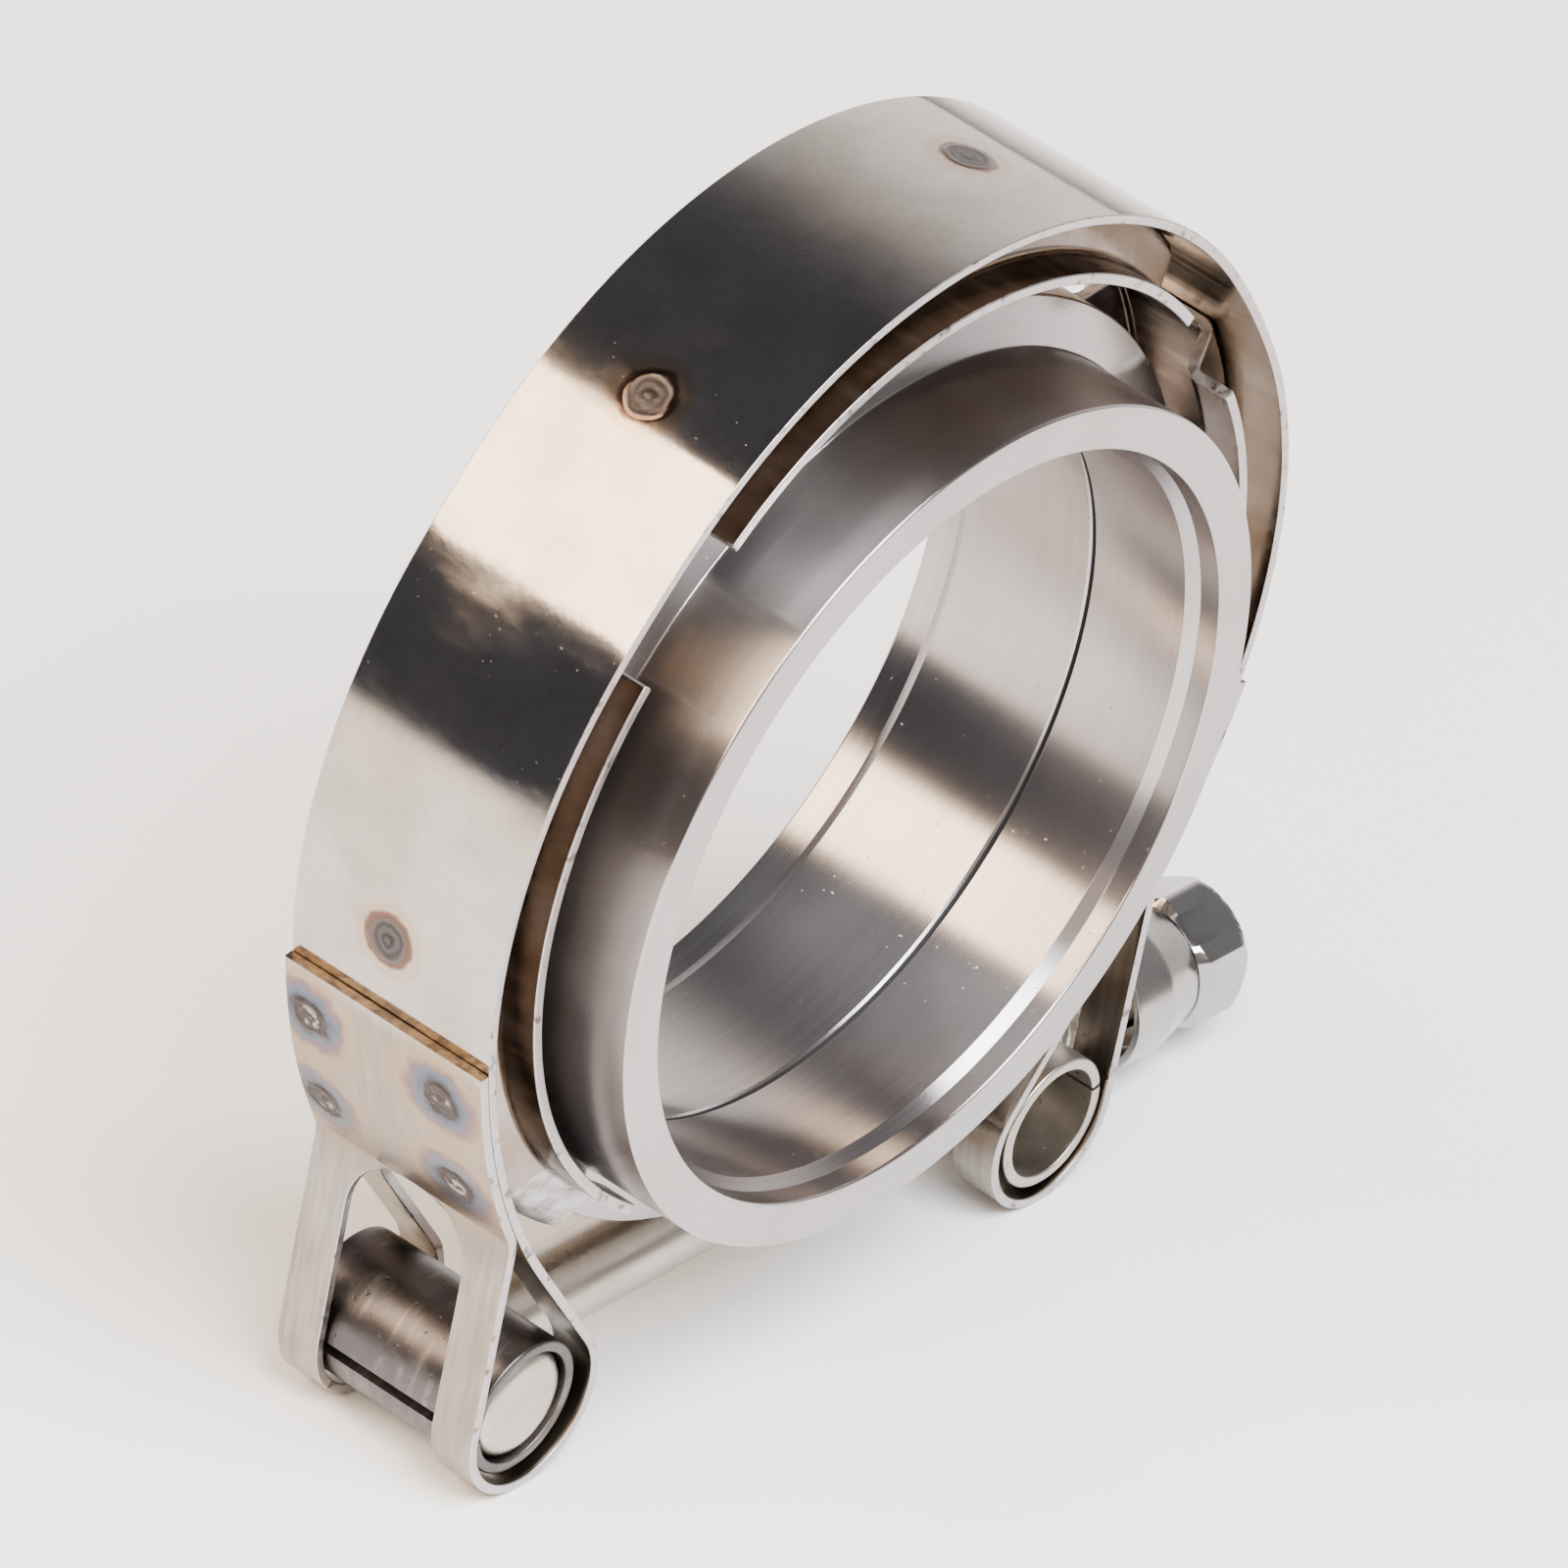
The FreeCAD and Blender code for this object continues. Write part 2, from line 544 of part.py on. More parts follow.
def add_leaf_welds(body):
    """Four resistance welds join each leaf to the strap under it, as nuggets across the gap between them."""
    gap_radius = SIZES["leg_radius"] + PLACES["sheet_pitch"] / 2
    for row in range(2):
        from_edge = SIZES["weld_edge_distance"] + row * SIZES["weld_pitch_along"]
        angle = SIZES["leaf_end_angle"] + math.degrees(from_edge / gap_radius)
        middle = BAND["leg"] + gap_radius * unit(angle)
        for side, sign in (("left", 1), ("right", -1)):
            name = "%s_welds_%d" % (side, row + 1)
            sketch = new_sketch(body, name, "XY_Plane")
            outward = Vector(sign * unit(angle).real, 0, unit(angle).imag)
            tilt = Rotation(Vector(), Vector(0, 1, 0), outward, "ZYX")
            sketch.AttachmentOffset = Placement(Vector(sign * middle.real, 0, middle.imag), tilt)
            for half, across in enumerate((-0.5, 0.5)):
                centre = Vector(0, across * SIZES["weld_pitch_across"], 0)
                sketch.addGeometry(Part.Circle(centre, Vector(0, 0, 1), SIZES["weld_radius"]), False)
                sketch.addConstraint(Sketcher.Constraint("PointOnObject", half, 3, -2))
                number = sketch.addConstraint(Sketcher.Constraint("Radius", half, SIZES["weld_radius"]))
                sketch.setExpression("Constraints[%d]" % number, cell("weld_radius"))
            extrude(body, "PartDesign::Pad", sketch, cell("sheet_pitch"), "Symmetric")


def make_t_bolt():
    """Forged T bolt: a round cross head with softly domed ends, and the shank that takes the nut."""
    place = Vector(PLACES["head_place"], PLACES["parting"], -PLACES["loop_drop"])
    body = new_body("t_bolt", Placement(place, Rotation()))
    head = circle_sketch(body, "cross_head", "XZ_Plane", "head_radius")
    extrude(body, "PartDesign::Pad", head, cell("sleeve_length"), "Symmetric")
    doc.recompute()
    half = SIZES["sleeve_length"] / 2
    edges = [name for along in (-half, half)
             for name in edge_names(body.Tip.Shape, ring_edge(PLACES["head_radius"], along))]
    dress(body, "PartDesign::Fillet", "head_dome", edges, SIZES["head_edge"], cell("head_edge"))
    shank = circle_sketch(body, "shank", "YZ_Plane", "bolt_radius")
    extrude(body, "PartDesign::Pad", shank, cell("bolt_length"))
    doc.recompute()
    edges = edge_names(body.Tip.Shape, round_edge(SIZES["bolt_radius"], PLACES["bolt_length"]))
    dress(body, "PartDesign::Chamfer", "bolt_end", edges, SIZES["bolt_end_chamfer"],
          cell("bolt_end_chamfer"))


def make_split_tube(label, centre_x, bore, length, slit, slit_angle, both_walls):
    """A tube rolled from sheet: the ends of the sheet meet at a slit, and cross holes take the bolt."""
    body = new_body(label, Placement(Vector(centre_x, PLACES["parting"], -PLACES["loop_drop"]), Rotation()))
    sketch = circle_sketch(body, label + "_wall", "XZ_Plane", "sleeve_radius")
    sketch.addGeometry(Part.Circle(Vector(), Vector(0, 0, 1), value(bore)), False)
    sketch.addConstraint(Sketcher.Constraint("Coincident", 1, 3, -1, 1))
    index = sketch.addConstraint(Sketcher.Constraint("Radius", 1, value(bore)))
    sketch.setExpression("Constraints[%d]" % index, cell(bore))
    extrude(body, "PartDesign::Pad", sketch, cell(length), "Symmetric")
    cut = new_sketch(body, label + "_slit", "XZ_Plane")
    along, across = unit(slit_angle), unit(slit_angle + 90) * value(slit) / 2
    near, far = value(bore) / 2, SIZES["sleeve_radius"] + SIZES["sleeve_wall"]
    corners = [near * along - across, far * along - across, far * along + across, near * along + across]
    points = [Vector(corner.real, corner.imag, 0) for corner in corners]
    for start in range(4):
        cut.addGeometry(Part.LineSegment(points[start], points[(start + 1) % 4]), False)
    for start in range(4):
        cut.addConstraint(Sketcher.Constraint("Coincident", start, 2, (start + 1) % 4, 1))
    extrude(body, "PartDesign::Pocket", cut, None, "Symmetric")
    hole = circle_sketch(body, label + "_bolt_hole", "YZ_Plane", "bolt_hole_radius")
    if both_walls:
        extrude(body, "PartDesign::Pocket", hole, None, "Symmetric")
    else:
        extrude(body, "PartDesign::Pocket", hole, cell("sleeve_radius") + " * 2", reverse=True)


def make_thrust_sleeve():
    """Turned cup: its open skirt faces the trunnion, and its collar carries the nut's seat."""
    body = new_body("thrust_sleeve")
    body.Placement.Base = Vector(PLACES["thrust_place"], PLACES["parting"], -PLACES["loop_drop"])
    revolve(body, "thrust_cup", "XY_Plane", "H_Axis", [
        (None, "skirt_bore"), (None, "skirt_radius"), ("skirt_length", "skirt_radius"),
        ("thrust_length", "collar_radius"), ("thrust_length", "bolt_hole_radius"),
        ("cup_depth", "bolt_hole_radius"), ("cup_depth", "skirt_bore")])
    doc.recompute()
    edges = edge_names(body.Tip.Shape, round_edge(SIZES["skirt_radius"], SIZES["skirt_length"]))
    dress(body, "PartDesign::Fillet", "thrust_shoulder", edges, SIZES["shoulder_radius"],
          cell("shoulder_radius"))


def make_lock_nut():
    """A turned blank, sloped at its seat and rounded at its outer end, with six flats cut along it."""
    body = new_body("lock_nut")
    body.Placement.Base = Vector(PLACES["nut_place"], PLACES["parting"], -PLACES["loop_drop"])
    revolve(body, "nut_blank", "XY_Plane", "H_Axis", [
        (None, "nut_bore"), (None, "nut_seat_radius"), ("nut_seat_slope", "nut_corner_radius"),
        ("nut_height", "nut_corner_radius"), ("nut_height", "nut_bore")])
    doc.recompute()
    edges = edge_names(body.Tip.Shape, round_edge(PLACES["nut_corner_radius"], SIZES["nut_height"]))
    dress(body, "PartDesign::Fillet", "nut_end", edges, SIZES["nut_end_round"], cell("nut_end_round"))
    flats = circle_sketch(body, "nut_flats", "YZ_Plane", "nut_cut_radius")
    corners = [PLACES["nut_corner_radius"] * unit(60 * step + 30) for step in range(6)]
    for start in range(6):
        first, second = corners[start], corners[(start + 1) % 6]
        flats.addGeometry(Part.LineSegment(Vector(first.real, first.imag, 0),
                                           Vector(second.real, second.imag, 0)), False)
    for start in range(6):
        flats.addConstraint(Sketcher.Constraint("Coincident", start + 1, 2, (start + 1) % 6 + 1, 1))
    extrude(body, "PartDesign::Pocket", flats, None, "Symmetric")


make_front_flange()
make_rear_flange()
make_retainer("upper_retainer", BAND["upper"], 90 - SIZES["retainer_arc"] / 2)
make_retainer("left_retainer", BAND["side"], JOINT_END)
make_retainer("right_retainer", complex(-BAND["side"].real, BAND["side"].imag), 180 - RETAINER_END)
make_strap()
make_t_bolt()
make_split_tube("t_head_sleeve", PLACES["head_place"], "sleeve_bore",
                "sleeve_length", "sleeve_slit", SIZES["slit_angle"], both_walls=False)
make_split_tube("trunnion_tube", PLACES["tube_place"], "tube_bore",
                "tube_length", "tube_slit", SIZES["tube_slit_angle"], both_walls=True)
make_thrust_sleeve()
make_lock_nut()
doc.recompute()

for item in doc.Objects:
    if "Invalid" in item.State or "Error" in item.State:
        raise RuntimeError("%s did not compute: %s" % (item.Label, item.State))
os.makedirs("parts", exist_ok=True)
for part in PARTS:
    if part.Shape.isNull() or not part.Shape.isValid():
        raise RuntimeError("%s has no valid shape" % part.Label)
for part in PARTS:
    part.Shape.exportStep(os.path.join("parts", part.Label + ".step"))
    print("%-16s solids %d  volume %.1f mm3" % (part.Label, len(part.Shape.Solids), part.Shape.Volume))
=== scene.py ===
import bpy
import cmath
import math
import random
from mathutils import Matrix, Vector


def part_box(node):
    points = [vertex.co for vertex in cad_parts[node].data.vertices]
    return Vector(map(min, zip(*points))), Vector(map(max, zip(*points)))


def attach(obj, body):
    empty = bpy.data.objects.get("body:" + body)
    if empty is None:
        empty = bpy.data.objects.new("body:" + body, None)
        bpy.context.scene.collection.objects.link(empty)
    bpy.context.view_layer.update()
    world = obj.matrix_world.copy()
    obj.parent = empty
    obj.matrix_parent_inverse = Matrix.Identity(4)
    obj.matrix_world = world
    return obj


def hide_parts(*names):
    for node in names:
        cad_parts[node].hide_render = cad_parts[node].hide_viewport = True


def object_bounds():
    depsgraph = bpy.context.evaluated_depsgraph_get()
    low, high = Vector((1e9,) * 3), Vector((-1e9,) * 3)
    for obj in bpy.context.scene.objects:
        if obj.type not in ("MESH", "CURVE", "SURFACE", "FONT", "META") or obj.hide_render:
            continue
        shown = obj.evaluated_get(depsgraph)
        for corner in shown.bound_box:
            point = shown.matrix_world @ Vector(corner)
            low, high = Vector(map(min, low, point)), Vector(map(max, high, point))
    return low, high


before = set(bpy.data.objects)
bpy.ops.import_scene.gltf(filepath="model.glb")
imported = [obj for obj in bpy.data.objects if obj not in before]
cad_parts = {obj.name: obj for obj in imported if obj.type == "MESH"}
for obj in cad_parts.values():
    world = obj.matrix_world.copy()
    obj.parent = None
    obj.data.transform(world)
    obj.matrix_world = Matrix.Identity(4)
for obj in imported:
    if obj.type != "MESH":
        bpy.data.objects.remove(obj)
cad_box = [list(corner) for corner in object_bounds()]
MM = 0.001

# The two flanges are turned from stainless bar: a neck that the pipe is welded in, half of a V rim, and
# a spigot on the rear one that sits in a recess in the front one. Their faces keep the lathe's fine
# rings and bright broken edges.
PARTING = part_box("front_flange")[1].y / MM
REAR_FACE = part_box("rear_flange")[1].y / MM
RIM_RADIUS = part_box("rear_flange")[1].x / MM
NECK_RADIUS, SOCKET_RADIUS, BORE_RADIUS = 42.75, 38.25, 37.4
FRONT_SOCKET, REAR_SOCKET, LEDGE_RUN = 2.3, 3.2, 1.2
SPIGOT_LENGTH, SPIGOT_RADIUS, RECESS_RADIUS, SEAM_GAP = 3.9, 40.0, 40.1, 0.2
RIM_LAND_HALF, RIM_FOOT_HALF = 5.0, 6.62
FLANGE_EDGE, LEDGE_EDGE, FINE_EDGE = 0.3, 0.15, 0.08
NOSE_BEVEL = [(0.0, 0.6), (0.2, 0.36), (0.5, 0.0)]
SEAM_REACH, SEAM_MARGIN = 0.4, 0.05
MERGE_DISTANCE = 0.002 * MM
FLANGE_COLOUR, SEAM_COLOUR = (0.435, 0.405, 0.40), (0.03, 0.028, 0.028)
STEEL, DARK_SEAM = range(2)


def rounded_loop(corners, steps=4):
    """A closed outline of (a, b) points from corners (a, b, radius), each corner rounded to its radius."""
    nearly_straight = math.radians(89)
    points = []
    for here, (a, b, radius) in enumerate(corners):
        corner = Vector((a, b))
        back = (Vector(corners[here - 1][:2]) - corner).normalized()
        ahead = (Vector(corners[(here + 1) % len(corners)][:2]) - corner).normalized()
        half_angle = back.angle(ahead) / 2
        if radius <= 0 or half_angle > nearly_straight:
            points.append((a, b))
            continue
        centre = corner + (back + ahead).normalized() * radius / math.sin(half_angle)
        start = corner + back * radius / math.tan(half_angle) - centre
        turn = start.angle_signed(corner + ahead * radius / math.tan(half_angle) - centre)
        for step in range(steps + 1):
            spoke = start.copy()
            spoke.rotate(Matrix.Rotation(-turn * step / steps, 2))
            points.append(tuple(centre + spoke))
    return points


def make_piece(name, verts, faces, body, node, finishes, kinds=None, sharp=40):
    """A smooth-shaded mesh from points in millimetres, which stands for a CAD node and rides on its body.

    Kinds gives each face the number of its finish, where a piece has more than one.
    """
    mesh = bpy.data.meshes.new(name)
    mesh.from_pydata([Vector(v) * MM for v in verts], [], faces)
    for finish in finishes:
        mesh.materials.append(finish)
    if kinds:
        mesh.polygons.foreach_set("material_index", kinds)
    piece = bpy.data.objects.new(name, mesh)
    bpy.context.scene.collection.objects.link(piece)
    bpy.context.view_layer.objects.active = piece
    for other in bpy.context.selected_objects:
        other.select_set(False)
    piece.select_set(True)
    bpy.ops.object.mode_set(mode="EDIT")
    bpy.ops.mesh.select_all(action="SELECT")
    bpy.ops.mesh.remove_doubles(threshold=MERGE_DISTANCE)
    bpy.ops.mesh.delete_loose()
    bpy.ops.mesh.select_all(action="SELECT")
    bpy.ops.mesh.normals_make_consistent(inside=False)
    bpy.ops.object.mode_set(mode="OBJECT")
    for face in mesh.polygons:
        face.use_smooth = True
    mesh.set_sharp_from_angle(angle=math.radians(sharp))
    weighted = piece.modifiers.new("even_shading", "WEIGHTED_NORMAL")
    weighted.keep_sharp = True
    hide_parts(node)
    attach(piece, body)
    return piece


def skin(rings, closed):
    """Points and quads of a surface through rings of points. Each ring is a closed outline."""
    count = len(rings[0])
    verts = [point for ring in rings for point in ring]
    faces = []
    for ring in range(len(rings) if closed else len(rings) - 1):
        near, far = ring * count, (ring + 1) % len(rings) * count
        for point in range(count):
            after = (point + 1) % count
            faces.append((near + point, near + after, far + after, far + point))
    if not closed:
        faces.append(tuple(range(count - 1, -1, -1)))
        faces.append(tuple(range((len(rings) - 1) * count, len(rings) * count)))
    return verts, faces


def turned_about_pipe(outline, steps=256, centre=0j):
    """Rings of an outline of (radius, along) points turned about the pipe's axis, or about one beside it."""
    rings = []
    for step in range(steps):
        spoke = cmath.rect(1, 2 * math.pi * step / steps)
        rings.append([(centre.real + radius * spoke.real, along, centre.imag + radius * spoke.imag)
                      for radius, along in outline])
    return rings


def shader_node(tree, kind, inputs=None, **settings):
    """A shader node with its settings, and with each named input set to a value or linked to a socket."""
    made = tree.nodes.new("ShaderNode" + kind)
    for key, setting in settings.items():
        setattr(made, key, setting)
    for key, source in (inputs or {}).items():
        if isinstance(source, bpy.types.NodeSocket):
            tree.links.new(source, made.inputs[key])
        else:
            made.inputs[key].default_value = source
    return made


def mask(tree, source, low, high, first=0.0, last=1.0):
    """A number that runs smoothly from first to last as the source runs from low to high."""
    made = shader_node(tree, "MapRange", {0: source, 1: low, 2: high, 3: first, 4: last},
                       interpolation_type="SMOOTHSTEP")
    return made.outputs[0]


def noise(tree, where, scale, detail=2.0, stretch=(1, 1, 1)):
    """Noise whose cells are stretched along the axes by the given amounts."""
    moved = shader_node(tree, "Mapping", {"Vector": where, "Scale": stretch})
    made = shader_node(tree, "TexNoise", {"Vector": moved.outputs[0], "Scale": scale, "Detail": detail})
    return made.outputs[0]


def blended(tree, amount, first, second):
    """The second colour over the first, by an amount. A colour is a socket or three numbers."""
    first, second = ((*tone, 1) if isinstance(tone, tuple) else tone for tone in (first, second))
    return shader_node(tree, "Mix", {0: amount, 6: first, 7: second}, data_type="RGBA").outputs[2]


def bumped(tree, height, strength, depth, under=None):
    """A bump of a depth in millimetres, over another bump where one is given."""
    inputs = {"Height": height, "Strength": strength, "Distance": depth * MM}
    if under:
        inputs["Normal"] = under
    return shader_node(tree, "Bump", inputs).outputs[0]


def bare_metal(name, colour, roughness):
    """A bare metal material. Returns the material, its tree, its shader and the place in the object."""
    material = bpy.data.materials.new(name)
    material.use_nodes = True
    tree = material.node_tree
    shader = tree.nodes["Principled BSDF"]
    shader.inputs["Base Color"].default_value = (*colour, 1)
    shader.inputs["Metallic"].default_value = 1.0
    shader.inputs["Roughness"].default_value = roughness
    where = shader_node(tree, "TexCoord").outputs["Object"]
    return material, tree, shader, where


def set_finish(tree, shader, tone, roughness, normal):
    """Give a material's shader its colour, its roughness and its bump."""
    for key, source in (("Base Color", tone), ("Roughness", roughness), ("Normal", normal)):
        tree.links.new(source, shader.inputs[key])


def lathe_lines(tree, where, first, second, along):
    """The distance from an axis and the run along it, as a place whose noise makes a lathe's rings."""
    parts = shader_node(tree, "SeparateXYZ", {0: where}).outputs
    across = shader_node(tree, "CombineXYZ", {0: parts[first], 1: parts[second]}).outputs[0]
    radius = shader_node(tree, "VectorMath", {0: across}, operation="LENGTH").outputs["Value"]
    return shader_node(tree, "CombineXYZ", {0: radius, 1: parts[along]}).outputs[0]


def turned_steel(name, colour):
    """Lathe-turned stainless steel. Its fine rings spread reflections across them, but not along them."""
    material, tree, shader, where = bare_metal(name, colour, 0.24)
    lines_at = lathe_lines(tree, where, "X", "Z", "Y")
    rings = noise(tree, lines_at, 3800, 4.0)
    broad_rings = noise(tree, lines_at, 900, 3.0)
    stains = noise(tree, where, 55, 2.5)
    nicks = noise(tree, where, 1500, 1.0)
    tone = blended(tree, mask(tree, rings, 0.3, 0.7, 0, 0.4), colour, (0.31, 0.29, 0.285))
    tone = blended(tree, mask(tree, broad_rings, 0.4, 0.7, 0, 0.25), tone, (0.32, 0.29, 0.27))
    tone = blended(tree, mask(tree, stains, 0.4, 0.75, 0, 0.35), tone, (0.34, 0.30, 0.275))
    shader.inputs["Anisotropic"].default_value = 0.9
    shader.inputs["Anisotropic Rotation"].default_value = 0.25
    round_pipe = shader_node(tree, "Tangent", direction_type="RADIAL", axis="Y")
    tree.links.new(round_pipe.outputs[0], shader.inputs["Tangent"])
    set_finish(tree, shader, tone, mask(tree, stains, 0.3, 0.75, 0.20, 0.25),
               bumped(tree, mask(tree, nicks, 0.74, 0.81, 0, 1), 0.5, -0.03))
    return material


def in_seam(here, after):
    """Whether an edge of the outline lies in the slot between the spigot's nose and the recess's floor."""
    inner, outer = min(here[0], after[0]), max(here[0], after[0])
    in_slot = abs((here[1] + after[1]) / 2 - spigot_nose) < SEAM_REACH
    return in_slot and inner > BORE_RADIUS + SEAM_MARGIN and outer < RECESS_RADIUS + SEAM_MARGIN


recess_floor = PARTING - SPIGOT_LENGTH
spigot_nose = recess_floor + SEAM_GAP
front_outline = rounded_loop([
    (SOCKET_RADIUS, 0, FLANGE_EDGE), (NECK_RADIUS, 0, FLANGE_EDGE),
    (NECK_RADIUS, PARTING - RIM_FOOT_HALF, FLANGE_EDGE), (RIM_RADIUS, PARTING - RIM_LAND_HALF, FLANGE_EDGE),
    (RIM_RADIUS, PARTING, FINE_EDGE), (RECESS_RADIUS, PARTING, FINE_EDGE),
    (RECESS_RADIUS, recess_floor, FINE_EDGE), (BORE_RADIUS, recess_floor, FINE_EDGE),
    (BORE_RADIUS, FRONT_SOCKET + LEDGE_RUN, FINE_EDGE), (SOCKET_RADIUS, FRONT_SOCKET, LEDGE_EDGE)])
nose = [(BORE_RADIUS + out, spigot_nose + back) for out, back in NOSE_BEVEL]
rear_outline = rounded_loop([
    (*nose[2], FINE_EDGE), (SPIGOT_RADIUS, spigot_nose, FINE_EDGE), (SPIGOT_RADIUS, PARTING, FINE_EDGE),
    (RIM_RADIUS, PARTING, FINE_EDGE), (RIM_RADIUS, PARTING + RIM_LAND_HALF, FLANGE_EDGE),
    (NECK_RADIUS, PARTING + RIM_FOOT_HALF, FLANGE_EDGE), (NECK_RADIUS, REAR_FACE, FLANGE_EDGE),
    (SOCKET_RADIUS, REAR_FACE, FLANGE_EDGE), (SOCKET_RADIUS, REAR_FACE - REAR_SOCKET, LEDGE_EDGE),
    (BORE_RADIUS, REAR_FACE - REAR_SOCKET - LEDGE_RUN, FINE_EDGE), (*nose[0], FINE_EDGE), (*nose[1], 0)])
# the slot between the flanges is too deep and narrow for any light to come back out of it
dark_seam = bare_metal("dark_seam", SEAM_COLOUR, 0.6)[0]
flange_finishes = [turned_steel("turned_stainless", FLANGE_COLOUR), dark_seam]
for flange, outline in (("front_flange", front_outline), ("rear_flange", rear_outline)):
    rings = turned_about_pipe(outline)
    verts, faces = skin(rings, closed=True)
    kinds = [DARK_SEAM if in_seam(here, outline[(number + 1) % len(outline)]) else STEEL
             for number, here in enumerate(outline)]
    make_piece("turned_" + flange, verts, faces, flange, flange, flange_finishes,
               kinds * len(rings))

# The band is one strip of polished stainless sheet. It is rolled round the retainers, has sprung open at
# the two joints between them, and loops round a trunnion at each end, where it folds back outside itself
# as a leaf that is spot-welded on. A fork slot through each loop leaves two legs and lets the bolt swing.
LIP_RADIUS, GROOVE_DEPTH, RETAINER_SHEET = 43.92, 4.85, 1.1
STRAP_SHEET, STRAP_WIDTH, WELD_GAP = 0.95, 23.6, 0.05
UPPER_ARC, JOINT_LENGTH, JOINT_TURN = 97.0, 13.0, 7.9
BAND_RISE, LEAVE_ANGLE, LEG_RADIUS = 8.2, 192.0, 70.0
LOOP_RADIUS, LOOP_DROP = 7.7, 53.0
LOOP_PLACES = {"left": 36.0, "right": 38.2}
LEAF_BEND, LEAF_END = 4.0, 193.2
FORK_HALF, FORK_TOP = 7.0, 30.3
SHEARED_EDGE, EDGE_STEPS, STRAP_COLUMNS = 0.13, 3, 12
ROW_RUN, ARC_ROW_RUN, ARC_ROW_TURN, ROW_GAP, HALVINGS = 1.0, 1.2, 6.0, 0.12, 40
STRAP_COLOUR = (0.445, 0.415, 0.395)
POLISHED, INSIDE, SHEARED, LEAF_TIP = range(4)
SCAR_STEPS, SCAR_ROWS, SCAR_APRON, SCAR_ROOT, SCAR_LIFT = 40, 22, 0.6, 0.3, 0.015
# a weld's rim radius, the height of its rim, and the height of its lumps
BAND_SCAR, LEAF_SCAR = (2.1, 0.05, 0.02), (1.8, 0.11, 0.08)
# heat colours round a weld, as (inner edge, outer edge, colour, amount)
LEAF_HEAT = [(0, 6.6, (0.33, 0.235, 0.14), 0.8), (2.0, 4.3, (0.15, 0.08, 0.095), 0.85),
             (1.8, 3.5, (0.10, 0.125, 0.165), 0.95), (0, 2.5, (0.045, 0.036, 0.035), 0.95)]
BAND_HEAT = [(2.2, 4.1, (0.40, 0.28, 0.17), 0.55), (2.05, 2.85, (0.15, 0.07, 0.045), 0.9),
             (0, 2.35, (0.055, 0.045, 0.044), 0.95), (1.3, 1.65, (0.045, 0.037, 0.036), 0.7),
             (0.4, 0.8, (0.035, 0.03, 0.03), 0.9), (0.8, 1.2, (0.08, 0.072, 0.07), 0.6)]
STRAP_MIDDLE = LIP_RADIUS + GROOVE_DEPTH + RETAINER_SHEET + WELD_GAP + STRAP_SHEET / 2


def unit(angle):
    """The direction at an angle in degrees, seen from the front with X to the right and Z up."""
    return cmath.rect(1, math.radians(angle))


def angle_of(direction):
    return math.degrees(cmath.phase(direction)) % 360


joint_radius = JOINT_LENGTH / math.radians(JOINT_TURN)
joint_start = 90 + UPPER_ARC / 2
joint_end = joint_start + JOINT_TURN
upper_centre = complex(0, BAND_RISE)
joint_centre = upper_centre + (STRAP_MIDDLE - joint_radius) * unit(joint_start)
side_centre = joint_centre + (joint_radius - STRAP_MIDDLE) * unit(joint_end)
leg_centre = side_centre + (STRAP_MIDDLE - LEG_RADIUS) * unit(LEAVE_ANGLE)


def strap_path(loop_place):
    """The middle line of half of the band, from its top round the left loop to the leaf's end.

    An arc is (centre, radius, first angle, last angle) and a straight is (start, end).
    """
    loop = complex(-loop_place, -LOOP_DROP)
    loop_middle = LOOP_RADIUS + STRAP_SHEET / 2
    reach = loop - leg_centre
    normal = angle_of(reach) - math.degrees(math.acos((LEG_RADIUS + loop_middle) / abs(reach)))
    loop_end = complex(loop.real - loop_middle, loop.imag)
    leaf_radius = LEG_RADIUS + STRAP_SHEET + WELD_GAP
    bend_across = loop_end.real - LEAF_BEND
    bend_height = leg_centre.imag - math.sqrt((leaf_radius + LEAF_BEND) ** 2
                                              - (bend_across - leg_centre.real) ** 2)
    bend = complex(bend_across, bend_height)
    bend_turn = angle_of(leg_centre - bend)
    return [(upper_centre, STRAP_MIDDLE, 90, joint_start),
            (joint_centre, joint_radius, joint_start, joint_end),
            (side_centre, STRAP_MIDDLE, joint_end, LEAVE_ANGLE),
            (leg_centre, LEG_RADIUS, LEAVE_ANGLE, normal),
            (leg_centre + LEG_RADIUS * unit(normal), loop - loop_middle * unit(normal)),
            (loop, loop_middle, normal - 180, -180), (loop_end, bend + LEAF_BEND),
            (bend, LEAF_BEND, 0, bend_turn), (leg_centre, leaf_radius, bend_turn + 180, LEAF_END)]


def piece_length(part):
    if len(part) == 2:
        return abs(part[1] - part[0])
    return part[1] * math.radians(abs(part[3] - part[2]))


def along_path(path, distance):
    """The point of a path at a distance along it, and the direction to the right of its travel there."""
    for number, part in enumerate(path):
        length = piece_length(part)
        if distance <= length or number == len(path) - 1:
            share = distance / length
            if len(part) == 2:
                travel = (part[1] - part[0]) / length
                return part[0] + travel * distance, -1j * travel
            centre, radius, first, last = part
            spoke = unit(first + (last - first) * share)
            return centre + radius * spoke, spoke if last > first else -spoke
        distance -= length


def fork_half(height):
    """Half of the width of the fork slot at a height."""
    crown = -FORK_TOP - FORK_HALF
    if height >= -FORK_TOP:
        return 0.0
    return FORK_HALF if height <= crown else math.sqrt(FORK_HALF ** 2 - (height - crown) ** 2)


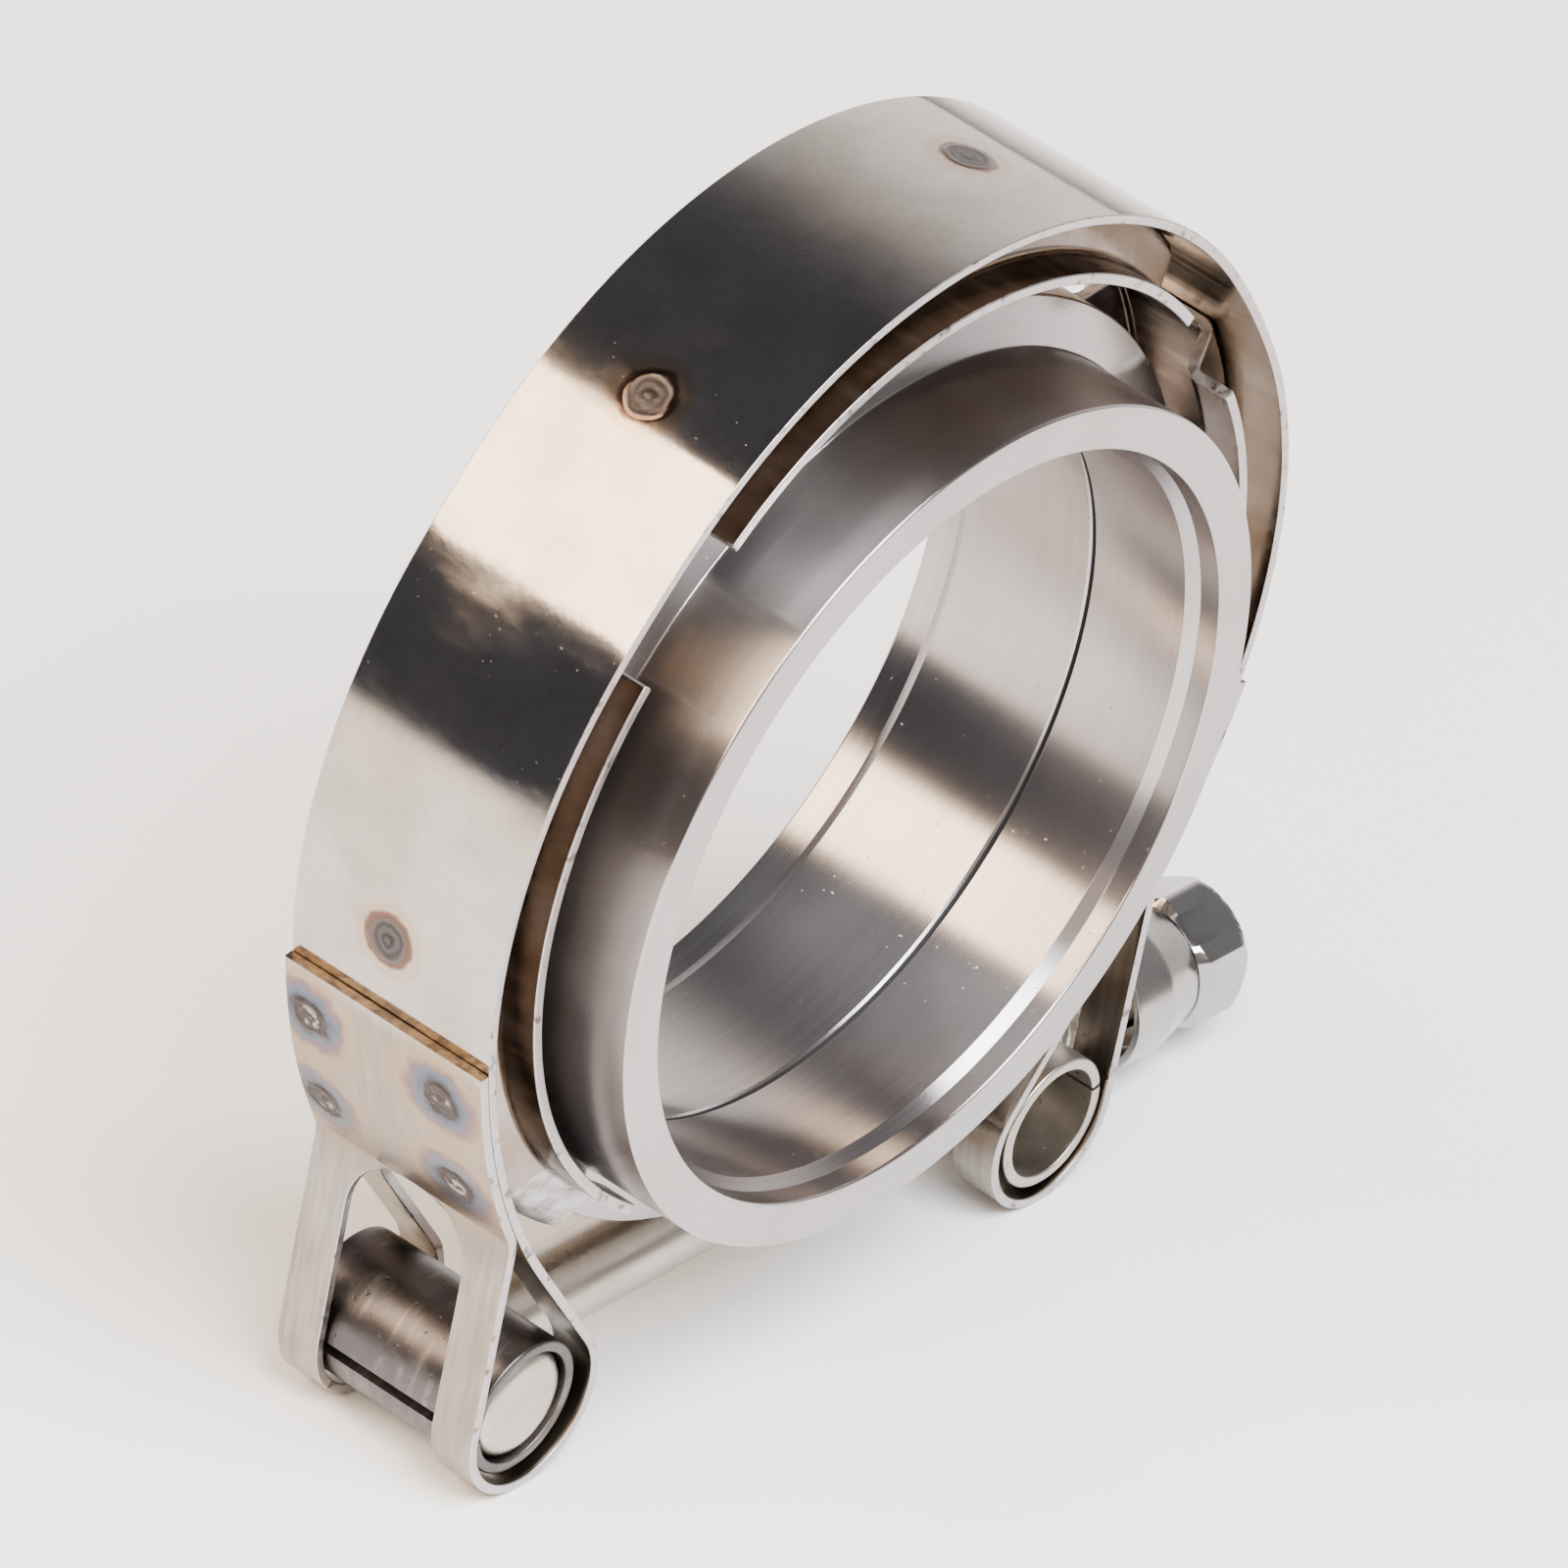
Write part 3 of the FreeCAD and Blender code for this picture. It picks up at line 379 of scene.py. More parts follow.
def strap_stations(path):
    """Distances along the path for the strap's rows: close on small arcs, and close round the slot's ends."""
    stations, start = [0.0], 0.0
    for part in path:
        length = piece_length(part)
        step = ROW_RUN if len(part) == 2 else min(ARC_ROW_RUN, part[1] * math.radians(ARC_ROW_TURN))
        count = max(1, math.ceil(length / step))
        stations += [start + length * number / count for number in range(1, count + 1)]
        start += length
    crown_turns = [math.radians(turn) for turn in range(0, 91, 6)]
    heights = [-FORK_TOP - FORK_HALF * (1 - math.cos(turn)) for turn in crown_turns]
    crossings = []
    for near, far in zip(stations, stations[1:]):
        low, high = along_path(path, near)[0].imag, along_path(path, far)[0].imag
        for height in heights:
            if (low - height) * (high - height) < 0:
                a, b = near, far
                for _ in range(HALVINGS):
                    middle = (a + b) / 2
                    if (along_path(path, middle)[0].imag - height) * (low - height) > 0:
                        a = middle
                    else:
                        b = middle
                crossings.append(a)
    kept = [place for place in stations if min(abs(place - other) for other in crossings) > ROW_GAP]
    return sorted(kept + crossings)


def strap_half(path, mirrored, first_row):
    """Points and quads of half of the strap. Each row is the two legs of a cut across it.

    Above the slot the legs meet at the strap's middle, where the doubled points are merged later.
    """
    half_sheet, half_width = STRAP_SHEET / 2, STRAP_WIDTH / 2
    edge_turns = [math.radians(90 * step / EDGE_STEPS) for step in range(EDGE_STEPS + 1)]
    stations = strap_stations(path)
    band_end = sum(piece_length(part) for part in path[:4])
    verts, faces, kinds, halves = [], [], [], []
    for distance in stations:
        place, right = along_path(path, distance)
        inner = fork_half(place.imag)
        if inner < 1e-4:
            inner = 0.0
        halves.append(inner)
        edge = min(SHEARED_EDGE, inner * 0.6)
        section = [(half_width - SHEARED_EDGE * (1 - math.cos(turn)),
                    half_sheet - SHEARED_EDGE * (1 - math.sin(turn))) for turn in edge_turns]
        span = half_width - SHEARED_EDGE - inner - edge
        section += [(half_width - SHEARED_EDGE - span * column / STRAP_COLUMNS, half_sheet)
                    for column in range(1, STRAP_COLUMNS)]
        section += [(inner + edge * (1 - math.sin(turn)), half_sheet - edge * (1 - math.cos(turn)))
                    for turn in edge_turns]
        section += [(across, -depth) for across, depth in reversed(section)]
        for side in (-1, 1):
            for across, depth in section:
                point = place + right * depth
                verts.append((-point.real if mirrored else point.real, PARTING + side * across, point.imag))
    count = len(section)
    slot_first = len(edge_turns) + STRAP_COLUMNS - 1
    for row in range(len(halves) - 1):
        closed = halves[row] == 0 and halves[row + 1] == 0
        in_band = stations[row] < band_end
        for side in range(2):
            near = first_row + (row * 2 + side) * count
            far = near + 2 * count
            for point in range(count):
                in_middle = slot_first <= point < count - 1 - slot_first
                if closed and in_middle:
                    continue
                after = (point + 1) % count
                faces.append((near + point, near + after, far + after, far + point))
                edges_away = min((point + 1) % count, count - 1 - point, abs(point + 1 - count // 2))
                if edges_away < len(edge_turns):
                    kinds.append(SHEARED)
                else:
                    kinds.append(INSIDE if in_band and point >= count // 2 else POLISHED)
    for side in range(2):
        near = first_row + ((len(halves) - 1) * 2 + side) * count
        faces.append(tuple(range(near, near + count)))
        kinds.append(LEAF_TIP)
    return verts, faces, kinds


def maths(tree, operation, first, second):
    """The outcome of an operation on two numbers or sockets."""
    return shader_node(tree, "Math", {0: first, 1: second}, operation=operation).outputs[0]


def nearest_spot(tree, where, spots):
    """The distance to the nearest of some places."""
    nearest = None
    for spot in spots:
        distance = shader_node(tree, "VectorMath", {0: where, 1: [c * MM for c in spot]},
                               operation="DISTANCE").outputs["Value"]
        nearest = maths(tree, "MINIMUM", nearest, distance) if nearest else distance
    return nearest


def heat_rings(tree, tone, distance, rings):
    """Heat colours round welds, each fading over a share of its ring's width."""
    for inner, outer, colour, amount in rings:
        soft = (outer - inner) * 0.3
        rise = mask(tree, distance, (inner - soft) * MM, (inner + soft) * MM, 0, amount) if inner else amount
        fall = mask(tree, distance, (outer - soft) * MM, (outer + soft) * MM, 1, 0)
        tone = blended(tree, maths(tree, "MULTIPLY", rise, fall), tone, colour)
    return tone


def weld_place(weld, reach=0.0, turn=0.0, height=0.0):
    """A point beside a weld, by its distance and direction along the sheet and its height above it."""
    centre, radius, angle, along, mirror = weld
    around = reach * math.cos(turn)
    spot = centre + (radius + height) * unit(angle + math.degrees(around / radius))
    return mirror * spot.real, PARTING + along + reach * math.sin(turn), spot.imag


BAND_FACE, LEAF_FACE = STRAP_MIDDLE + STRAP_SHEET / 2, LEG_RADIUS + WELD_GAP + 1.5 * STRAP_SHEET
band_welds = [(upper_centre, BAND_FACE, 78.8, 0.8, 1), (upper_centre, BAND_FACE, 128.1, 0.8, 1),
              (side_centre, BAND_FACE, 184.6, 0.8, 1), (side_centre, BAND_FACE, 184.6, 0.4, -1)]
leaf_welds = [(leg_centre, LEAF_FACE, angle, 1.2 + sign * half_pitch, mirror)
              for angle, half_pitch in ((197.9, 7.8), (207.6, 8.0)) for sign in (-1, 1) for mirror in (1, -1)]
band_spots = [weld_place(weld) for weld in band_welds]
leaf_spots = [weld_place(weld) for weld in leaf_welds]


def bell(reach, middle, width):
    """A smooth hump over a distance, 1 high at its middle."""
    return math.exp(-((reach - middle) / width) ** 2)


def weld_scar(weld, rim_radius, rim_height, lump_height, draw):
    """Rings of points of a weld's scar: a low closed shell with a raised rim, a pip and an uneven middle.

    The first ring lies inside the sheet, and the others run in from the scar's edge to its middle.
    """
    waves = [(order, draw.uniform(0, 2 * math.pi), draw.uniform(0.2, 1.0)) for order in (2, 3, 5, 7)]
    turns = [2 * math.pi * step / SCAR_STEPS for step in range(SCAR_STEPS)]
    outer = rim_radius + SCAR_APRON
    rings = [[weld_place(weld, outer - 0.2, turn, -SCAR_ROOT) for turn in turns]]
    for row in range(SCAR_ROWS):
        reach = outer * (1 - row / SCAR_ROWS)
        ring = []
        for turn in turns:
            uneven = sum(size * math.sin(order * turn + start) for order, start, size in waves) / 2
            rim = rim_height * bell(reach, rim_radius + 0.1 * uneven, 0.22)
            pip = rim_height * 0.8 * bell(reach, 0, 0.4)
            lump = lump_height * uneven * math.sin(reach * 5 + uneven)
            lump *= bell(reach, rim_radius * 0.55, rim_radius * 0.4)
            apron = 0.05 * bell(reach, outer, 0.25)
            height = SCAR_LIFT + rim + pip + lump - apron
            ring.append(weld_place(weld, reach * (1 + 0.03 * uneven), turn, height))
        rings.append(ring)
    return rings


def shadow_line_past_leaf_end(tree, where, near, far):
    """A narrow line of painted shadow on the band beside the leaf's end, from near to far beyond it, on both
    sides.
    """
    tip = leg_centre + (LEG_RADIUS + STRAP_SHEET / 2) * unit(LEAF_END)
    upward = -1j * unit(LEAF_END)
    both_sides = shader_node(tree, "VectorMath", {0: where}, operation="ABSOLUTE").outputs[0]
    across = shader_node(tree, "SeparateXYZ", {0: both_sides}).outputs["X"]
    height = shader_node(tree, "SeparateXYZ", {0: where}).outputs["Z"]
    level = shader_node(tree, "CombineXYZ", {0: across, 1: height}).outputs[0]
    run = shader_node(tree, "VectorMath", {0: level, 1: (-upward.real, upward.imag, 0)},
                      operation="DOT_PRODUCT").outputs["Value"]
    start = (tip.real * upward.real + tip.imag * upward.imag) * MM
    rise = mask(tree, run, start - 0.03 * MM, start, 0, 0.95)
    return maths(tree, "MULTIPLY", rise, mask(tree, run, start + near * MM, start + far * MM, 1, 0))


def polished_strap():
    """Polished sheet: soft waves from rolling, faint wipe marks, specks, and heat colours at the welds.

    The leaves and legs are brushed along their length, and the strap is darker and browner below about 10 mm
    under the pipe's axis.
    """
    material, tree, shader, where = bare_metal("polished_band", STRAP_COLOUR, 0.09)
    stains = noise(tree, where, 60, 5.0)
    clouds = noise(tree, where, 140, 5.0)
    wipes = noise(tree, where, 190, 5.0, (1, 0.35, 1))
    grain = noise(tree, where, 900, 3.0)
    specks = noise(tree, where, 2600, 1.0)
    waves = noise(tree, where, 42, 2.0)
    brushing = noise(tree, where, 1300, 3.0, (0.1, 1, 0.1))
    ragged = noise(tree, where, 620, 4.0)
    height = shader_node(tree, "SeparateXYZ", {0: where}).outputs["Z"]
    on_leaf = mask(tree, height, -8 * MM, -11 * MM, 0, 1)
    near_leaf, near_band = nearest_spot(tree, where, leaf_spots), nearest_spot(tree, where, band_spots)
    leaf_reach = maths(tree, "ADD", near_leaf, mask(tree, ragged, 0.25, 0.75, -0.4 * MM, 0.4 * MM))
    band_reach = maths(tree, "ADD", near_band, mask(tree, ragged, 0.25, 0.75, -0.22 * MM, 0.22 * MM))

    tone = blended(tree, mask(tree, stains, 0.40, 0.72, 0, 0.45), STRAP_COLOUR, (0.42, 0.355, 0.28))
    tone = blended(tree, mask(tree, clouds, 0.42, 0.70, 0, 0.5), tone, (0.30, 0.265, 0.225))
    tone = blended(tree, mask(tree, grain, 0.42, 0.68, 0, 0.22), tone, (0.33, 0.295, 0.25))
    # the strap is darker and browner below about 10 mm under the pipe's axis, more so in patches
    darker_low_patches = maths(tree, "MULTIPLY", on_leaf, mask(tree, stains, 0.3, 0.65, 0.5, 1))
    tone = blended(tree, darker_low_patches, tone, (0.265, 0.218, 0.17))
    # painted shade: the strap is darker over the bend into each leaf, where the concave bend is in shade
    painted_bend_shade = maths(tree, "MULTIPLY", mask(tree, height, -19 * MM, -29 * MM, 0, 0.5),
                      mask(tree, height, -31 * MM, -37 * MM, 1, 0))
    tone = blended(tree, painted_bend_shade, tone, (0.20, 0.165, 0.15))
    brushed = maths(tree, "MULTIPLY", on_leaf, mask(tree, brushing, 0.35, 0.7, 0, 0.6))
    tone = blended(tree, brushed, tone, (0.19, 0.16, 0.135))
    # painted shadow: a near-black line on the band just past each leaf's end
    tone = blended(tree, shadow_line_past_leaf_end(tree, where, 0.12, 0.30), tone, (0.02, 0.015, 0.012))
    tone = heat_rings(tree, tone, leaf_reach, LEAF_HEAT)
    spatter = maths(tree, "MULTIPLY", mask(tree, near_leaf, 1.0 * MM, 1.5 * MM, 0.9, 0),
                    mask(tree, grain, 0.50, 0.58, 0, 1))
    tone = blended(tree, spatter, tone, (0.34, 0.30, 0.275))
    tone = heat_rings(tree, tone, band_reach, BAND_HEAT)

    rough = mask(tree, stains, 0.35, 0.72, 0.06, 0.11)
    for more in (mask(tree, wipes, 0.5, 0.75, 0, 0.10), mask(tree, on_leaf, 0, 1, 0, 0.13),
                 mask(tree, leaf_reach, 1.7 * MM, 2.4 * MM, 0.24, 0),
                 mask(tree, band_reach, 2.0 * MM, 2.4 * MM, 0.28, 0)):
        rough = maths(tree, "ADD", rough, more)

    bump = bumped(tree, waves, 0.4, 0.12)
    bump = bumped(tree, clouds, 0.25, 0.03, bump)
    bump = bumped(tree, grain, 0.12, 0.02, bump)
    bump = bumped(tree, mask(tree, specks, 0.76, 0.82, 0, 1), 0.3, 0.02, bump)
    bump = bumped(tree, maths(tree, "MULTIPLY", brushing, on_leaf), 0.25, 0.02, bump)
    scab = maths(tree, "MULTIPLY", mask(tree, leaf_reach, 1.2 * MM, 2.2 * MM, 1, 0), grain)
    set_finish(tree, shader, tone, rough, bumped(tree, scab, 1.0, 0.3, bump))
    return material


def shaded_warm_sheet(name, colour, warm):
    """Rolled sheet seen only between the band and the flanges, coloured dark and warm as painted shade and
    painted warm reflection from the sheets around it, and browner in patches.
    """
    material, tree, shader, where = bare_metal(name, colour, 0.2)
    patches = noise(tree, where, 110, 4.0)
    streaks = noise(tree, where, 520, 3.0, (1, 0.18, 1))
    tone = blended(tree, mask(tree, patches, 0.35, 0.68, 0, 0.8), colour, warm)
    set_finish(tree, shader, tone, mask(tree, streaks, 0.35, 0.75, 0.15, 0.27),
               bumped(tree, patches, 0.2, 0.1))
    return material


def sheared_edge(name, colour, sound=0.58):
    """The cut edge of sheet steel: matt, with short shear marks, and dark nicks where it isn't sound."""
    material, tree, shader, where = bare_metal(name, colour, 0.36)
    marks = noise(tree, where, 1500, 3.0)
    nicks = noise(tree, where, 700, 4.0)
    tone = blended(tree, mask(tree, nicks, sound, sound + 0.14, 0, 0.85), colour, (0.09, 0.075, 0.065))
    bump = bumped(tree, nicks, 0.5, 0.10, bumped(tree, marks, 0.5, 0.05))
    set_finish(tree, shader, tone, mask(tree, marks, 0.3, 0.7, 0.28, 0.46), bump)
    return material


strap_verts, strap_faces, strap_kinds = [], [], []
for side, loop_place in LOOP_PLACES.items():
    verts, faces, kinds = strap_half(strap_path(loop_place), side == "right", len(strap_verts))
    strap_verts += verts
    strap_faces += faces
    strap_kinds += kinds
# the band's inside gets a darker, warmer copy of its steel as painted shade between the band and the
# retainers
strap_finishes = [polished_strap(), shaded_warm_sheet("shaded_band_inside", (0.42, 0.37, 0.31), (0.31, 0.24, 0.17)),
                  sheared_edge("sheared_band_edge", (0.44, 0.405, 0.395)),
                  sheared_edge("browned_leaf_end", (0.19, 0.145, 0.10), sound=0.43)]
make_piece("polished_strap", strap_verts, strap_faces, "clamp", "strap", strap_finishes,
           strap_kinds, sharp=35)
scar_draw = random.Random(11)
scar_verts, scar_faces = [], []
for welds, scar in ((band_welds, BAND_SCAR), (leaf_welds, LEAF_SCAR)):
    for weld in welds:
        verts, faces = skin(weld_scar(weld, *scar, scar_draw), closed=False)
        scar_faces += [tuple(len(scar_verts) + corner for corner in face) for face in faces]
        scar_verts += verts
make_piece("weld_scars", scar_verts, scar_faces, "clamp", "strap", strap_finishes[:1], sharp=60)

# Three retainers, rolled from thicker steel sheet to a hat section, carry the V groove that draws the
# rims together. They are spot-welded inside the band, and their cut ends are left rough from the shear.
RETAINER_ARC, RETAINER_WIDTH, GROOVE_HALF, BEND_RADIUS = 92.0, 23.6, 4.95, 0.9
WALL_ANGLE = math.radians(20)
GROOVE_SLOPE, WALL_STRETCH = math.tan(WALL_ANGLE), 1 / math.cos(WALL_ANGLE)
CUT_EDGE, CUT_ROUGHNESS, TORN_ARC = 0.16, 0.28, 14.0
BEND_STEPS, RETAINER_STEPS = 5, 92
# the retainers' steel is darkened and warmed as painted shade, as they sit under the band
RETAINER_COLOUR = (0.33, 0.285, 0.255)
PLAIN, CUT, TORN = range(3)


def hat_section(inset):
    """The retainer's section as a closed outline of (radius, along) points, drawn in by an inset."""
    half_sheet, tip = RETAINER_SHEET / 2, RETAINER_WIDTH / 2
    lip, root = LIP_RADIUS + half_sheet, LIP_RADIUS + GROOVE_DEPTH + half_sheet
    root_half = GROOVE_HALF + half_sheet * (WALL_STRETCH - GROOVE_SLOPE)
    lip_half = root_half + GROOVE_DEPTH * GROOVE_SLOPE
    middle = [(lip, -tip), (lip, -lip_half), (root, -root_half),
              (root, root_half), (lip, lip_half), (lip, tip)]
    thickness = half_sheet - inset
    faces = []
    for offset in (thickness, -thickness):
        face = []
        for radius, along in middle:
            sign, reach = math.copysign(1, along), abs(along)
            if reach == tip:
                face.append((radius + offset, sign * (tip - inset), min(CUT_EDGE, thickness * 0.5)))
                continue
            bend = BEND_RADIUS + half_sheet + (offset if radius == root else -offset)
            face.append((radius + offset, sign * (reach + offset * (WALL_STRETCH - GROOVE_SLOPE)), bend))
        faces.append(face)
    return rounded_loop(faces[0] + faces[1][::-1], steps=BEND_STEPS)


def torn_sheet(name, colour):
    """Sheet beside a shear cut: light, scaly and rough, with short dark cracks."""
    material, tree, shader, where = bare_metal(name, colour, 0.45)
    scales = noise(tree, where, 420, 5.0)
    cracks = noise(tree, where, 650, 2.0, (0.5, 1, 1.3))
    crack = maths(tree, "MULTIPLY", mask(tree, cracks, 0.44, 0.49, 0, 1),
                  mask(tree, cracks, 0.49, 0.54, 1, 0))
    crack = maths(tree, "MULTIPLY", crack, mask(tree, scales, 0.52, 0.66, 0, 0.55))
    tone = blended(tree, mask(tree, scales, 0.35, 0.65, 0, 0.7), colour, (0.27, 0.25, 0.24))
    tone = blended(tree, crack, tone, (0.06, 0.05, 0.045))
    set_finish(tree, shader, tone, mask(tree, scales, 0.3, 0.7, 0.34, 0.55), bumped(tree, scales, 0.9, 0.35))
    return material


retainer_finishes = [shaded_warm_sheet("rolled_retainer_sheet", RETAINER_COLOUR, (0.22, 0.155, 0.115)),
                     sheared_edge("sheared_retainer_edge", (0.43, 0.395, 0.385)),
                     torn_sheet("torn_retainer_sheet", (0.50, 0.48, 0.47))]


def rolled_retainer(name, node, centre, start_angle, seed, torn_start=0.0, torn_end=0.0):
    """A retainer: its section swept about its own centre, with shear marks on both cut ends.

    The torn arcs are the stretches beside an end that the shear left light and rough.
    """
    draw = random.Random(seed)
    edge_turn = math.degrees(CUT_EDGE / LIP_RADIUS)
    end_turns, end_insets = [0, edge_turn * 0.4, edge_turn], [CUT_EDGE * 0.7, CUT_EDGE * 0.2, 0]
    inner = [edge_turn + (RETAINER_ARC - 2 * edge_turn) * step / RETAINER_STEPS
             for step in range(1, RETAINER_STEPS)]
    turns = end_turns + inner + [RETAINER_ARC - turn for turn in reversed(end_turns)]
    insets = end_insets + [0] * len(inner) + end_insets[::-1]
    rings = []
    for turn, inset in zip(turns, insets):
        at_end = min(turn, RETAINER_ARC - turn) < edge_turn * 1.01
        inward = 0.5 if turn < RETAINER_ARC / 2 else -0.5
        ring = []
        for radius, along in hat_section(inset):
            ragged = math.degrees(draw.uniform(-1, 1) * CUT_ROUGHNESS / LIP_RADIUS) if at_end else 0
            spoke = unit(start_angle + turn + abs(ragged) * inward)
            spot = centre + radius * spoke
            ring.append((spot.real, PARTING + along, spot.imag))
        rings.append(ring)
    verts, faces = skin(rings, closed=False)
    half_count, edge_points = len(rings[0]) // 2, BEND_STEPS + 1
    kinds = []
    for row, turn in enumerate(turns[:-1]):
        at_cut = row < len(end_turns) - 1 or row >= len(turns) - len(end_turns)
        torn = turn < torn_start or turn > RETAINER_ARC - torn_end
        for point in range(2 * half_count):
            from_edge = min((point + 1) % half_count, half_count - 1 - point % half_count)
            kinds.append(CUT if from_edge < edge_points or at_cut else TORN if torn else PLAIN)
    kinds += [CUT, CUT]
    make_piece(name, verts, faces, "clamp", node, retainer_finishes, kinds, sharp=35)


mirrored_side = complex(-side_centre.real, side_centre.imag)
mirrored_start = 180 - (joint_end + RETAINER_ARC)
rolled_retainer("rolled_upper_retainer", "upper_retainer", upper_centre, 90 - RETAINER_ARC / 2, seed=3)
rolled_retainer("rolled_left_retainer", "left_retainer", side_centre, joint_end, seed=5, torn_end=TORN_ARC)
rolled_retainer("rolled_right_retainer", "right_retainer", mirrored_side, mirrored_start, seed=7,
                torn_start=TORN_ARC)

# The T bolt is forged from steel and plated: a shank, and a round cross head whose ends show in the left
# loop. Its thread is rolled on the outer part only, so the stretch below the flanges stays smooth.
BOLT_RADIUS, BOLT_CHAMFER, THREAD_PITCH, THREAD_DEPTH, THREAD_START = 4.0, 0.9, 1.25, 0.72, 14.0
THREAD_CREST_LOSS, FLANK_SLOPE, CREST_SHARE = 0.03, 2.6, 0.15
ROWS_A_PITCH, SHANK_ROWS, SHANK_STEPS = 8, 12, 40
BOLT_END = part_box("t_bolt")[1].x / MM
HEAD_PLACE = (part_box("t_head_sleeve")[0].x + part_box("t_head_sleeve")[1].x) / 2 / MM
HEAD_RADIUS, HEAD_HALF, HEAD_EDGE, SHANK_ROOT, HEAD_STEPS = 5.7, 10.9, 1.8, 4.5, 96
BOLT_COLOUR = (0.46, 0.42, 0.355)


def threaded_shank(start, end):
    """Points and quads of the shank: plain, then a rolled thread, then a chamfer at the end."""
    rows = [start + (THREAD_START - start) * row / SHANK_ROWS for row in range(SHANK_ROWS)]
    count = math.ceil((end - THREAD_START) / (THREAD_PITCH / ROWS_A_PITCH))
    rows += [THREAD_START + (end - THREAD_START) * row / count for row in range(count + 1)]
    rings = []
    for along in rows:
        grown = min(1.0, max(0.0, (along - THREAD_START) / THREAD_PITCH))
        chamfered = BOLT_RADIUS - max(0.0, along - (end - BOLT_CHAMFER))
        ring = []
        for step in range(SHANK_STEPS):
            phase = (along / THREAD_PITCH - step / SHANK_STEPS) % 1.0
            flank = min(1.0, max(0.0, abs(phase - 0.5) * FLANK_SLOPE - CREST_SHARE))
            radius = min(BOLT_RADIUS - THREAD_CREST_LOSS - THREAD_DEPTH * flank * grown, chamfered)
            angle = 2 * math.pi * step / SHANK_STEPS
            ring.append((along, PARTING + radius * math.cos(angle), -LOOP_DROP + radius * math.sin(angle)))
        rings.append(ring)
    return skin(rings, closed=False)


def plated_steel(name, colour):
    """Warm plating over forged steel, with drawn streaks along the shank and dull patches."""
    material, tree, shader, where = bare_metal(name, colour, 0.3)
    streaks = noise(tree, where, 1400, 3.0, (0.08, 1, 1))
    patches = noise(tree, where, 160, 4.0)
    tone = blended(tree, mask(tree, patches, 0.35, 0.75, 0, 0.45), colour, (0.35, 0.305, 0.25))
    tone = blended(tree, mask(tree, streaks, 0.5, 0.75, 0, 0.5), tone, (0.52, 0.49, 0.44))
    set_finish(tree, shader, tone, mask(tree, patches, 0.3, 0.7, 0.22, 0.38),
               bumped(tree, streaks, 0.25, 0.04))
    return material


head_outline = rounded_loop([
    (0.0, PARTING - HEAD_HALF, 0), (HEAD_RADIUS, PARTING - HEAD_HALF, HEAD_EDGE),
    (HEAD_RADIUS, PARTING + HEAD_HALF, HEAD_EDGE), (0.0, PARTING + HEAD_HALF, 0)], steps=8)
head_rings = turned_about_pipe(head_outline, HEAD_STEPS, complex(HEAD_PLACE, -LOOP_DROP))
head_verts, head_faces = skin(head_rings, closed=True)
shank_verts, shank_faces = threaded_shank(HEAD_PLACE + SHANK_ROOT, BOLT_END)
shank_faces = [tuple(len(head_verts) + corner for corner in face) for face in shank_faces]
make_piece("forged_t_bolt", head_verts + shank_verts, head_faces + shank_faces, "clamp", "t_bolt",
           [plated_steel("plated_bolt", BOLT_COLOUR)], sharp=38)

# A sleeve rolled from dark sheet turns on the cross head in the left loop, and a longer tube rolled from
# brighter sheet sits in the right one. The edges of each sheet meet at a slit that is left open.
SLEEVE_RADIUS, SLEEVE_WALL, SLEEVE_HALF, SLEEVE_SLIT, SLEEVE_SLIT_ANGLE = 6.9, 1.15, 10.9, 1.2, 188.0
TUBE_WALL, TUBE_HALF, TUBE_SLIT, TUBE_SLIT_ANGLE = 1.2, 11.4, 0.5, 16.0
TUBE_PLACE = (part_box("trunnion_tube")[0].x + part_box("trunnion_tube")[1].x) / 2 / MM
TUBE_EDGE, TUBE_STEPS = 0.2, 120
BOLT_HOLE, DRILL_REACH = 4.3, 12.0
SLEEVE_COLOUR = (0.09, 0.08, 0.08)
TUBE_COLOUR = (0.42, 0.375, 0.325)


def rolled_tube(centre_x, wall, half_length, slit, slit_angle):
    """Points and quads of a split tube: its wall's section, rounded at both ends, swept round to the slit."""
    bore, outer_edge = SLEEVE_RADIUS - wall, TUBE_EDGE * 1.6
    outline = rounded_loop([(bore, -half_length, TUBE_EDGE), (SLEEVE_RADIUS, -half_length, outer_edge),
                            (SLEEVE_RADIUS, half_length, outer_edge), (bore, half_length, TUBE_EDGE)])
    half_slit = math.degrees(slit / 2 / SLEEVE_RADIUS)
    first, last = slit_angle + half_slit, slit_angle + 360 - half_slit
    rings = []
    for step in range(TUBE_STEPS + 1):
        spoke = unit(first + (last - first) * step / TUBE_STEPS)
        rings.append([(centre_x + radius * spoke.real, PARTING + along, -LOOP_DROP + radius * spoke.imag)
                      for radius, along in outline])
    return skin(rings, closed=False)


def drill(piece, start_x, end_x):
    """Cut the bolt's hole across a tube between two places along the bolt's axis."""
    bpy.ops.mesh.primitive_cylinder_add(vertices=64, radius=BOLT_HOLE * MM, depth=(end_x - start_x) * MM,
                                        location=((start_x + end_x) / 2 * MM, PARTING * MM, -LOOP_DROP * MM),
                                        rotation=(0, math.pi / 2, 0))
    cutter = bpy.context.object
    cut = piece.modifiers.new("bolt_hole", "BOOLEAN")
    cut.object = cutter
    cut.operation = "DIFFERENCE"
    cut.solver = "EXACT"
    piece.modifiers.move(len(piece.modifiers) - 1, 0)
    bpy.context.view_layer.update()
    bpy.context.view_layer.objects.active = piece
    bpy.ops.object.modifier_apply(modifier="bolt_hole")
    bpy.data.objects.remove(cutter)
    for face in piece.data.polygons:
        face.use_smooth = True
    piece.data.set_sharp_from_angle(angle=math.radians(35))


